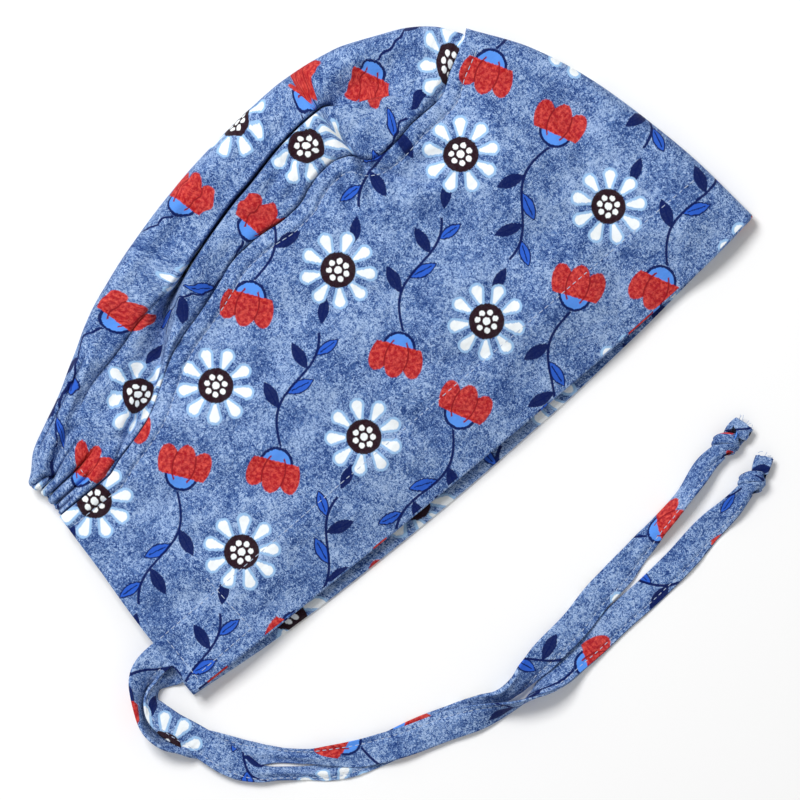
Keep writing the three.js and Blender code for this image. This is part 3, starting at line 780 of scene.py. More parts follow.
@dataclass
class Crown:
    """The gathered crown, with its lobes, the long crease and the pleats at the nape.

    Attributes:
        along: cells from the nape to the front tip.
        near: cells on the near side between each stop and the next, from the lap to the outline.
        turn: cells round the outline.
        far: cells on the far side.
    """

    along: int = 214
    near: tuple[int, ...] = (5, 34, 30, 8, 22, 32)
    turn: int = 42
    far: int = 26

    STOPS = (0.3, 0.46, 0.56, 0.6, 0.74, 0.9, 1.0)  # outer, rim, foot, lip, inner, seam, lap
    SECTIONS = (
        # x; y and z of: the inner lobe's top, its lip, the valley's foot, the outer lobe's rim,
        # the outer lobe's top; y of the outline
        (5, 89, 11.2, 91, 10.8, 93, 10.4, 98, 10.4, 101, 10.4, 106.2),
        (14, 89.5, 12, 93, 11.6, 96, 11, 103, 10.6, 107, 11, 114.2),
        (24, 90, 12.8, 94, 12.6, 97.5, 11.6, 107, 10.8, 112, 12.4, 119),
        (36, 91, 13.4, 94, 13.2, 97.5, 12, 113.6, 11.2, 117.4, 13.8, 124.3),
        (46, 92.4, 13.4, 94.5, 12.8, 97, 11.4, 118.4, 13.2, 122, 15.4, 129.8),
        (54, 94, 13.8, 95.4, 13, 97.4, 10.8, 120.6, 15, 126, 17, 134),
        (62, 97, 14.4, 98, 13.8, 99.8, 10.2, 121.8, 16.4, 130, 18.4, 138.4),
        (70, 101.4, 15.8, 102.4, 15, 104.2, 10, 123.4, 17.6, 133, 19.4, 142),
        (80, 108, 18.6, 109.4, 17.2, 112.6, 8.4, 125.8, 18.8, 137, 20.6, 145.4),
        (90, 113.2, 21.4, 115.8, 19.8, 122.4, 6.4, 127, 19.8, 140, 21.6, 148.6),
        (100, 118.2, 24, 122.8, 22.2, 126.6, 5.4, 128.4, 20.8, 142, 22.6, 151.2),
        (110, 121.8, 25.6, 127.4, 23.8, 129.8, 4.2, 131.4, 22, 144, 23.4, 153.6),
        (120, 124.8, 27, 130.7, 24.6, 132.4, 4.4, 133.9, 22.8, 146, 23.8, 155.6),
        (136, 127.2, 28, 134.5, 25.4, 136.4, 5.6, 138, 23.8, 149, 24.8, 158.2),
        (150, 128.4, 28.6, 136.8, 26, 138.6, 7, 140.2, 24.6, 150, 25.4, 159.6),
        (165, 130.6, 29.4, 139.8, 26.6, 141.5, 9, 143.1, 25.2, 151.5, 25.4, 160.7),
        (180, 131.4, 29.8, 141.2, 26.8, 142.7, 12, 144.1, 25.2, 152, 25, 161),
        (189, 130.4, 29.6, 141, 26.4, 142.4, 15.6, 144.2, 23.6, 152, 24.4, 160.4),
        (197, 126.4, 28.2, 136.4, 25.8, 137.4, 18.8, 141.6, 19.4, 151, 23.4, 159.4),
        (204, 123.8, 26.2, 132.6, 24.6, 133.7, 18.6, 139.2, 18, 149.5, 22.4, 158),
        (210, 121.6, 24.4, 129.2, 23.2, 130.6, 19.2, 137, 18, 148, 21.8, 156.6),
        (218, 120.4, 22, 124.5, 21.4, 126.5, 19.6, 134, 18.2, 144.5, 21, 153.4),
        (226, 120.4, 20.2, 124.8, 20, 127, 19.2, 132, 18.4, 141, 19.8, 149.8),
        (235, 122.8, 18, 125.6, 18, 127.6, 17.6, 130.6, 17.4, 136.6, 17.6, 145.6),
        (245, 126, 14.4, 127.2, 14.4, 128, 14.3, 128.8, 14.2, 131, 13.8, 138),
        (251.4, 127.85, 9.9, 127.95, 9.85, 128.05, 9.8, 128.15, 9.7, 128.3, 9.6, 129),
    )
    TURN = (
        # x, height of the outline's middle, reach of the far side's curl
        (BACK_X, 5, 5),
        (40, 6, 6),
        (100, 8.4, 8),
        (187, 9.4, 9),
        (232, 8.4, 8),
        (CROWN_END_X, 7.1, 0.6),
    )
    SLACK = ((0.6, 5, 34.0), (0.36, 6, 15.0), (0.1, 9, 6.0))  # height, seed and wavelength, mm
    STATIONS = ((0, 0.15, 0.6, 0.75, 1), (BACK_X, 26, 174, 198, CROWN_END_X))
    CUT_TURN = 17.0  # how it lay on the printed cloth, degrees
    CUT_FROM = (31.0, 12.0)  # and where, mm
    RIM_STEP = columns([(36, 0), (50, 2.2), (60, 3.0), (92, 2.6), (112, 0)])[0]
    PLEATS = (
        *pleat(((3, 90), (12, 89.8), (18, 90.4)), (2.4, 1.8, 0.0)),
        *pleat(((3, 92.6), (12, 92.6), (22, 92.6), (31, 94)), (3.8, 3.2, 2.0, 0.0)),
        *pleat(((3, 96.7), (10, 97), (23, 97.6), (37, 99.6)), (4.6, 4.4, 3.6, 0.0)),
        *pleat(((3, 100.6), (12, 101), (16, 102), (22, 104), (35, 106.5)), (4.6, 4, 2.8, 2, 0)),
        *pleat(((6, 103.8), (10, 103.6), (12.4, 102.2)), (2.8, 3.6, 1.6)),
        Crease(((13, 102), (17, 105.5), (22, 108), (30, 110.3), (38, 108.8)), (2.6, 4.2, 4.2, 3.2, 0), 2.2),
        Crease(
            ((12, 111.5), (20, 115.2), (30, 119), (44, 124.5), (58, 130.2)),
            (1.6, 2.8, 3.4, 3.0, 0.0),
            0.9,
            1.6,
        ),
        Crease(
            ((10, 112.2), (19, 116.4), (29, 120.4), (43, 126), (56, 131.6)),
            (-0.4, -0.8, -0.9, -0.8, 0.0),
            1.5,
        ),
    )
    CREASES = (
        Crease(((46, 94), (52, 96.6), (59, 99.6)), (4.4, 5.4, 1.0), 2.4),
        Crease(((30, 88.6), (37, 90.4), (42, 92.8), (48, 96)), (1.6, 3.2, 3.6, 1.6), 1.1, 1.0),
        Crease(((44, 99), (50, 102), (58, 104)), (-0.8, -1.2, 0.0), 2.6),
        Crease(((187.4, 118), (188, 125), (188.6, 132)), (4.0, 2.2, 0.0), 1.2, 1.0),
        Crease(((190.2, 117), (190.6, 124), (191, 131)), (-0.9, -0.7, 0.0), 1.7),
        Crease(((184.6, 121), (184.4, 126), (184, 131)), (-0.6, -0.4, 0.0), 1.8),
        Crease(((150, 130.5), (165, 134.5), (177, 136.8)), (0.9, 1.3, 0.2), 2.2),
        Crease(((155, 124), (166, 126.5), (176, 126)), (0.5, 0.8, 0.2), 2.6),
        Crease(
            ((211, 128.5), (216, 125), (219.5, 123.6), (224, 125.2), (230, 128.4)),
            (0.8, 1.6, 1.7, 1.1, 0.0),
            1.7,
        ),
        Crease(((176, 152), (190, 155), (203, 153)), (0.8, 1.3, 0.4), 4.5),
        Crease(((199, 141), (206, 138.5), (211, 134)), (1.4, 1.6, 0.6), 4.5),
        Crease(((120, 150), (145, 153), (168, 154)), (-0.5, -0.7, 0.0), 4.0),
        Crease(((60, 128), (72, 134), (84, 136)), (0.6, 0.8, 0.0), 3.4),
        Crease(((66, 112), (76, 117), (84, 120)), (0.7, 0.9, 0.0), 3.0),
        Crease(((46, 108), (58, 112), (70, 117)), (0.7, 0.8, 0.0), 3.0),
        Crease(((110, 117), (122, 122), (136, 124)), (0.5, 0.7, 0.0), 2.6),
        Crease(((95, 142), (112, 142), (130, 145)), (0.4, 0.7, 0.0), 3.4),
    )

    def lap_height(self, x: Array, y: Array, near: bool) -> Array:
        """Height of the crown's layer under the side band, which follows its front fold.

        Args:
            x: first coordinate of each point, mm.
            y: second coordinate, mm.
            near: whether the layer is the near one.

        Returns:
            The height at each point, mm.
        """
        radius = FOLD_RADIUS[1] - LAYER_STEP
        inward = np.clip((CROWN_TIP_X - LAYER_STEP - x) / radius, 0, 1)
        level = NEAR.height(x, y) - LAYER_STEP if near else FLOOR_LAYER + LAYER_STEP
        middle = FLOOR_LAYER + FOLD_RADIUS[1]
        return mix(middle, level, np.sqrt(inward * (2 - inward)))

    def between(self, values: list[Array], share: Array) -> Array:
        """Values at the stops, joined along each section without overshoot.

        Args:
            values: one array for each stop.
            share: where on the section each point lies.

        Returns:
            The value at each point.
        """
        at = np.asarray(self.STOPS)
        rows = np.stack(values)
        slope = tangents(np.diff(rows, axis=0) / np.diff(at)[:, None])
        i = np.clip(np.searchsorted(at, share, side="right") - 1, 0, len(at) - 2)
        k = np.arange(len(share))
        width = at[i + 1] - at[i]
        t = np.clip((share - at[i]) / width, 0, 1)
        leave, arrive = width * slope[i, k], width * slope[i + 1, k]
        return hermite(t, rows[i, k], leave, rows[i + 1, k], arrive)

    def near_side(
        self, x: Array, share: Array, turn: Array, edge: Edge
    ) -> tuple[Array, Array, Array]:
        """The near side, from the outline over both lobes to the lap.

        Args:
            x: place along the cap, mm.
            share: from the outline, 0, to the end of the lap, 1.
            turn: how far round the outline each point is, in radians.
            edge: the outline at each point.

        Returns:
            y and z of each point, and y of the outer lobe's rim, mm.
        """
        stops = [curve(x) for curve in columns(self.SECTIONS)][:-1]
        ys, zs = stops[0::2], stops[1::2]
        seam = SEAM(x)
        middle_part = smooth(x, 70, 100) * (1 - smooth(x, 214, 236))
        ys[0] = mix(ys[0], seam + 2.6, middle_part)
        zs[0] = mix(zs[0], OUTLINE.near_height(x, seam) + 1.1, 0.85 * middle_part)
        lap = seam - SEAM_LAP
        laps = [self.lap_height(x, at, True) for at in (seam, lap)]
        y = self.between([*ys[::-1], seam, lap], share)
        z = self.between([*zs[::-1], *laps], share)
        full = mix(1, 0.66, smooth(x, 30, 80) * (1 - smooth(x, 215, 245)))
        across, rise = np.cos(turn) ** full, np.sin(turn) ** full
        round_outline = share < self.STOPS[0]
        y = np.where(round_outline, mix(ys[4], edge.y, across), y)
        z = np.where(round_outline, mix(edge.middle, zs[4], rise), z)
        return y, z, ys[3]

    def far_side(
        self, x: Array, share: Array, turn: Array, edge: Edge
    ) -> tuple[Array, Array]:
        """The far side, which lies flat on the surface up to its lap.

        Args:
            x: place along the cap, mm.
            share: from the outline, 0, to the end of the lap, 1.
            turn: how far round the outline each point is, in radians.
            edge: the outline at each point.

        Returns:
            y and z of each point, mm.
        """
        outer, seam_stop = self.STOPS[0], self.STOPS[5]
        seam = SEAM(x)
        flat_y = edge.y - edge.curl
        flat = np.clip((share - outer) / (seam_stop - outer), 0, 1)
        lap = np.clip((share - seam_stop) / (1 - seam_stop), 0, 1)
        under = np.maximum(smooth(share, 0.66, 0.86), smooth(x, 222, 243))
        level = mix(FLOOR_LAYER, self.lap_height(x, seam, False), under)
        round_outline = mix(flat_y, edge.y, np.cos(turn))
        y = np.where(share < outer, round_outline, mix(flat_y, seam, flat) - SEAM_LAP * lap)
        return y, mix(edge.middle, level, np.sin(turn))

    def folds(self, x: Array, y: Array, rim: Array) -> tuple[Array, Array]:
        """Gathers, slack, creases and pleats of the near side where nothing holds it.

        Args:
            x: place along the cap, mm.
            y: place across it, mm.
            rim: y of the outer lobe's rim, mm.

        Returns:
            The change of height at each point, and the part of it that is pleats, mm.
        """
        up = np.maximum(y - SEAM(x), 0)
        step = self.RIM_STEP(x) * np.exp(-np.abs(rim - y) / np.where(y < rim, 2.4, 0.5))
        casing = 1 - smooth(x, 40, 60)
        slot = mix(3.4, 6.0, casing) * np.exp(-((up / mix(0.75, 0.95, casing)) ** 3))
        gathers = 0.34 * np.sin(x / 0.95 + 1.8 * np.sin(x / 8)) * np.exp(-up / 4)
        gathers = gathers * smooth(x, 50, 80)
        slack = sum(size * ripple(x, y, seed, wave) for size, seed, wave in self.SLACK)
        grooves = sum(crease.height(x, y) for crease in self.PLEATS)
        creases = sum(crease.height(x, y) for crease in self.CREASES)
        rolled_in = 2.6 * np.exp(-np.maximum(x - BACK_X, 0) / 1.6)
        return gathers + slack + grooves + creases - step - slot - rolled_in, grooves

    def surface(self, x: Array, v: Array) -> Array:
        """Points of the crown.

        Args:
            x: place along the cap, mm.
            v: from the near lap, -1, over the outline, 0, to the far lap, 1.

        Returns:
            x, y and z of each point, mm.
        """
        share, near = np.abs(v), v < 0
        edge = Edge(columns(self.SECTIONS)[-1](x), *(curve(x) for curve in columns(self.TURN)))
        turn = np.pi / 2 * np.minimum(share / self.STOPS[0], 1)
        near_y, near_z, rim = self.near_side(x, share, turn, edge)
        far_y, far_z = self.far_side(x, share, turn, edge)
        y = np.where(near, near_y, far_y)
        z = np.where(near, near_z, far_z)
        free = np.where(near, smooth(share, 0.02, 0.2), 0.0) * smooth(CROWN_END_X - x, 0, 20)
        free = free * (1 - smooth(share, 0.893, 0.9))
        folds, grooves = self.folds(x, y, rim)
        lobes = 0.5 * (1 - smooth(x, 20, 46))
        z = z + free * (folds + lobes)
        far_wave = 0.5 * (1 + np.cos(9 * math.pi * share)) * smooth(share, 0.3, 0.5)
        z = z + np.where(near, 0, far_wave * (1 - smooth(x, 24, 72)))
        drawn = (1 - smooth(x, BACK_X, 15)) * np.where(near, smooth(share, 0.05, 0.25), 0)
        blob = 1.6 * bell(y, 104, 3.4) * (1 - smooth(x, BACK_X, 12)) * near
        x = x - 0.3 * (grooves + 0.6) * drawn - blob + 0.6 * (1 - smooth(x, BACK_X, 15))
        return np.stack([x, y, z], axis=1)

    def stations(self, along: Array) -> Array:
        """x of each column, close together at the nape and at the caught tuck."""
        return np.interp(along, *self.STATIONS)

    def build(self, material: Material) -> Object:
        """Makes the crown in place of its CAD solid.

        Args:
            material: its finish.

        Returns:
            The piece.
        """
        near = [-stop for stop in self.STOPS[::-1]]
        counts = [*self.near, self.turn, self.far]
        rows = sum(counts)
        sheet = Sheet("crown_cloth", self.along, rows)
        bm, along, across = sheet.parameters()
        x = self.stations(along)
        cells = np.concatenate(([0], np.cumsum(counts))) / rows
        v = np.interp(across, cells, [*near, self.STOPS[0], 1])
        points = self.surface(x, v)
        order = np.lexsort((across, along)).reshape(self.along + 1, rows + 1)
        cloth = np.empty(len(points))
        for column in order:
            cloth[column] = lengths(points[column])
        uv = np.stack([x, SEAM(x) - SEAM_LAP + cloth], axis=1)
        obj = sheet.build(points, self.turned(uv), bm, material)
        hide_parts("crown")
        return obj

    def turned(self, uv: Array) -> Array:
        """Turns and shifts places to where the crown was cut from the printed cloth.

        Args:
            uv: places on the crown laid flat, mm.

        Returns:
            Their places on the printed cloth, mm.
        """
        angle = math.radians(self.CUT_TURN)
        c, s = math.cos(angle), math.sin(angle)
        return uv @ np.array([[c, s], [-s, c]]) + np.array(self.CUT_FROM)


# Ties, knots and threads

TIE_WIDTH = 12.0
TIE_THICKNESS = 1.4
TIE_REST = 0.05  # least height of a tie above the surface, mm
UP = np.array([0.0, 0.0, 1.0])
NEAR_TIE = (
    # x, y, z, lean in degrees, width
    (14, 19, 8.9, 0, 12),
    (4, 19, 8.8, 0, 12),
    (-4, 19.2, 8.7, -4, 12),
    (-11, 17.9, 8, -26, 12),
    (-17.6, 13.2, 6.9, -58, 12),
    (-22.4, 6.4, 6.8, -74, 12),
    (-23.8, -1, 6.6, -76, 12),
    (-21.8, -7.4, 5.2, -64, 12),
    (-17, -12.6, 2.8, -34, 12),
    (-11.6, -18.4, 0.8, 0, 12),
    (-5.6, -26.4, 0.8, 0, 12),
    (0.2, -33.6, 0.8, 0, 11),
    (6, -38.8, 1, 0, 7.4),
    (10.6, -43.4, 1, 0, 6),
    (16.6, -49.2, 1.9, 0, 6),
    (22.8, -54.6, 3.4, 0, 8),
    (31, -60.6, 3, 0, 10.6),
    (44, -67.4, 2.8, 0, 12),
    (60, -73.8, 2.8, 0, 12),
    (74, -79.6, 3.6, 16, 12),
    (84, -83.8, 5.2, 42, 12),
    (92, -86.8, 6.2, 66, 12),
    (99.6, -88.8, 6.7, 88, 12),
    (107, -89.8, 6, 119, 12),
    (114, -89.8, 3.9, 149, 12),
    (123, -89.2, 1.8, 171, 12),
    (135, -88.9, 0.8, 180, 12),
    (150, -88.7, 0.8, 180, 12),
    (168, -88, 0.8, 180, 12),
    (186, -86, 0.8, 180, 12),
    (200, -84.6, 1.2, 180, 11),
    (211, -84, 3, 180, 9),
    (219, -82.6, 4.2, 180, 7),
)
FAR_TIE = (
    # x, y, z, lean in degrees, width
    (14, 11, 2, 0, 12),
    (4, 11, 2, 0, 11),
    (-1, 10.9, 2, 0, 11),
    (-5.6, 11, 3, -34, 9),
    (-10.4, 10.9, 4.3, -62, 8.4),
    (-15, 8.6, 5.6, -54, 9.6),
    (-17.2, 3, 6.2, -34, 11.4),
    (-16.4, -3.2, 6.4, -22, 12),
    (-14.4, -9.6, 5.8, -14, 12),
    (-12, -17.4, 4.2, -8, 12),
    (-9, -27, 3.7, -8, 12),
    (-5.6, -35.4, 3.4, -6, 11),
    (-2.4, -41.8, 3, 0, 7.4),
    (4, -47.8, 1.6, 0, 5.6),
    (11.4, -54, 1, 0, 5.6),
    (19.4, -59.4, 1, 0, 7.6),
    (30, -64.2, 0.8, 0, 10.6),
    (44, -67.6, 0.8, 0, 12),
    (60, -72.2, 0.8, 0, 12),
    (74, -76.8, 1.4, 8, 11),
    (84, -79.4, 3.2, 32, 10),
    (92, -81.2, 4.6, 50, 10),
    (99.6, -81.8, 4.9, 40, 10),
    (107, -81.1, 5, 14, 10.4),
    (116, -80.2, 4.6, 4, 12),
    (128, -78.8, 3.2, 0, 12),
    (142, -77.2, 2.7, 0, 12),
    (158, -75, 1.6, 0, 12),
    (170, -73, 1, 0, 10),
    (184, -71, 2, -36, 9),
    (196, -68.8, 3.2, -52, 9),
    (207, -66, 3.6, -28, 9),
    (215, -64.2, 4, -8, 8),
    (221, -63.8, 4.2, 0, 7),
)
NEAR_TAIL = (5.6, 6.4, 7.0, 7.3, 7.2)  # widths of each tail from its knot on, mm
FAR_TAIL = (8.2, 9.2, 9.6, 9.4, 8.2)


def catmull_rom(knots: Array, row: Array) -> Array:
    """Points of a centripetal spline through a table's rows, as three.js draws it.

    Args:
        knots: x, y and z of each row.
        row: the row, and how far on to the next one, that each point stands at.

    Returns:
        The points.
    """
    first, last = 2 * knots[0] - knots[1], 2 * knots[-1] - knots[-2]
    line = np.concatenate(([first], knots, [last]))
    i = np.clip(row.astype(int), 0, len(knots) - 2)
    t = (row - i)[:, None]
    p0, p1, p2, p3 = line[i], line[i + 1], line[i + 2], line[i + 3]
    d0, d1, d2 = (
        np.sqrt(np.linalg.norm(b - a, axis=1))[:, None] for a, b in ((p0, p1), (p1, p2), (p2, p3))
    )
    start = d1 * ((p1 - p0) / d0 - (p2 - p0) / (d0 + d1)) + (p2 - p1)
    end = d1 * ((p3 - p2) / d2 - (p3 - p1) / (d1 + d2)) + (p2 - p1)
    return hermite(t, p1, start, p2, end)


def direction(knots: Array, row: Array, step: float) -> Array:
    """Unit tangents of the spline through a table's rows.

    Args:
        knots: x, y and z of each row.
        row: the row, and how far on to the next one, that each point stands at.
        step: how far to both sides, in rows, the spline is looked at.

    Returns:
        The tangent at each point.
    """
    ahead = catmull_rom(knots, np.minimum(row + step, len(knots) - 1))
    return unit(ahead - catmull_rom(knots, np.maximum(row - step, 0)))


def rolled(bm: BMesh, points: Array, uv: Array) -> None:
    """Places the vertices of grids, then welds each into a tube and closes its ends.

    Args:
        bm: the grids, whose first and last rows meet.
        points: x, y and z of each vertex, mm in the cap's own frame.
        uv: where each vertex lies on the flat cloth, mm.
    """
    layer = bm.loops.layers.uv.new(UV_MAP)
    placed = place(points)
    bm.verts.index_update()
    for face in bm.faces:
        for loop in face.loops:
            loop[layer].uv = uv[loop.vert.index] * MM
    for vert in bm.verts:
        vert.co = placed[vert.index]
    bmesh.ops.remove_doubles(bm, verts=bm.verts, dist=1e-7)
    open_edges = [edge for edge in bm.edges if edge.is_boundary]
    bmesh.ops.holes_fill(bm, edges=open_edges, sides=0)
    bmesh.ops.recalc_face_normals(bm, faces=bm.faces)


@dataclass
class Tie:
    """A flat strip of folded cloth, edge-stitched, that lies on the surface.

    Attributes:
        name: the piece's name.
        node: the CAD node it stands for.
        rows: its centre line with its lean and width.
        stitched: where across it the stitch line runs, from -1 to 1.
        cloth: where on the printed cloth it was cut, mm.
        seed: picks its small folds.
        rings: cells along it.
        half_section: cells across each face.
    """

    name: str
    node: str
    rows: tuple[tuple[float, ...], ...]
    stitched: float
    cloth: tuple[float, float]
    seed: int
    rings: int = 330
    half_section: int = 22

    SAMPLES = 3000  # of the centre line
    STEP = 0.02  # rows to both sides of a point, for its direction
    NARROWEST = 0.7  # share of its full width down to which it thickens as it narrows
    SECOND_STITCH = 1.36  # place of the second groove, as a multiple of the first one's

    def __post_init__(self) -> None:
        """Samples the centre line by its length."""
        table = np.asarray(self.rows, float)
        row = np.arange(len(table))
        self.knots = table[:, :3]
        self.lean = Curve(row, table[:, 3])
        self.width = Curve(row, table[:, 4])
        self.fine_row = np.linspace(0, len(table) - 1, self.SAMPLES)
        self.fine_length = lengths(catmull_rom(self.knots, self.fine_row))
        self.length = float(self.fine_length[-1])

    def half_thickness(self, width: Array) -> Array:
        """Half the strip's thickness where it has this width, mm."""
        return TIE_THICKNESS / 2 / np.maximum(width / TIE_WIDTH, self.NARROWEST)

    def frames(self, along: Array) -> tuple[Array, Array, Array, Array]:
        """The strip's place and lie.

        Args:
            along: length from its hidden end, mm.

        Returns:
            Its centre, mm, its side and up directions, and its width, mm, at each length.
        """
        row = np.interp(along, self.fine_length, self.fine_row)
        centre = catmull_rom(self.knots, row)
        tangent = direction(self.knots, row, self.STEP)
        flat = unit(np.cross(tangent, UP))
        turn = np.radians(self.lean(row))[:, None]
        side = flat * np.cos(turn) + np.cross(tangent, flat) * np.sin(turn)
        width = self.width(row)
        thick = self.half_thickness(width)
        lowest = centre[:, 2] - np.abs(side[:, 2]) * (width / 2 - thick) - thick
        centre[:, 2] += np.maximum(TIE_REST - lowest, 0)
        return centre, side, np.cross(side, tangent), width

    def surface(self, along: Array, across: Array, face: Array) -> Array:
        """Points of the strip's skin.

        Args:
            along: length from its hidden end, mm.
            across: from one edge, -1, to the other, 1.
            face: 1 on one face and -1 on the other.

        Returns:
            x, y and z of each point, mm.
        """
        centre, side, up, width = self.frames(along)
        narrow = np.clip((TIE_WIDTH - width) / 6, 0, 1)
        half = width / 2
        thick = self.half_thickness(width)
        from_edge = (1 - np.abs(across)) * half
        rounding = np.sqrt(1 - np.clip(1 - from_edge / thick, 0, 1) ** 2)
        from_stitch = (across - self.stitched) * half
        from_second = (across - self.SECOND_STITCH * self.stitched) * half
        groove = 0.55 * bell(from_stitch, 0, 0.55) + 0.45 * bell(from_second, 0, 0.4)
        pillow = 0.18 * (1 - across**2)
        pucker = 0.14 * np.sin(along / 0.62 + 1.7 * np.sin(along / 7))
        pucker = pucker * bell(from_stitch, 0, 2.2)
        height = face * (thick + (pillow - groove) * (1 - narrow)) * rounding
        gathered = narrow * 0.55 * np.cos(1.5 * math.pi * across + 0.9 * np.sin(along / 11))
        slack = 0.42 * ripple(along, across * 6, self.seed, 24) + pucker
        outside = smooth(along, 12, 26)
        height = height + (gathered + slack) * (0.25 + 0.75 * rounding) * outside
        sway = 0.22 * ripple(along, 0 * along, self.seed + 1, 22) * outside
        points = centre + side * (across * half + sway)[:, None] + up * height[:, None]
        points[:, 2] = np.maximum(points[:, 2], TIE_REST)
        return points

    def build(self, material: Material) -> Object:
        """Makes the tie in place of its CAD solid.

        Args:
            material: its finish.

        Returns:
            The piece.
        """
        count = 2 * self.half_section
        bm, lengthwise, around = grid(self.rings, count)
        along = lengthwise * self.length
        turn = np.rint(around * count) % count
        face = np.where(turn <= self.half_section, 1.0, -1.0)
        step = np.where(face > 0, turn, count - turn) / self.half_section
        even = 2 * step - 1
        across = 0.55 * even + 0.45 * np.sin(even * math.pi / 2)
        points = self.surface(along, across, face)
        wrap = np.where(face > 0, across, np.sign(around - 0.5) * 2 - across)
        uv = np.stack([along, wrap * TIE_WIDTH / 2], axis=1) + np.array(self.cloth)
        rolled(bm, points, uv)
        obj = piece(self.name, mesh_of(self.name, bm, material))
        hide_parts(self.node)
        return obj

    def path(self) -> list[tuple[float, ...]]:
        centre, _, _, _ = self.frames(np.linspace(0, self.length, self.rings))
        return [tuple(p) for p in place(centre)]

    def end(self) -> tuple[Array, float]:
        """Where the tie ends and its knot starts.

        Returns:
            The place, mm, and the direction that the knot points, in radians.
        """
        step = self.knots[-1] - self.knots[-2]
        turn = math.atan2(step[1], step[0])
        return self.knots[-1] + 0.6 * np.array([math.cos(turn), math.sin(turn), 0]), turn


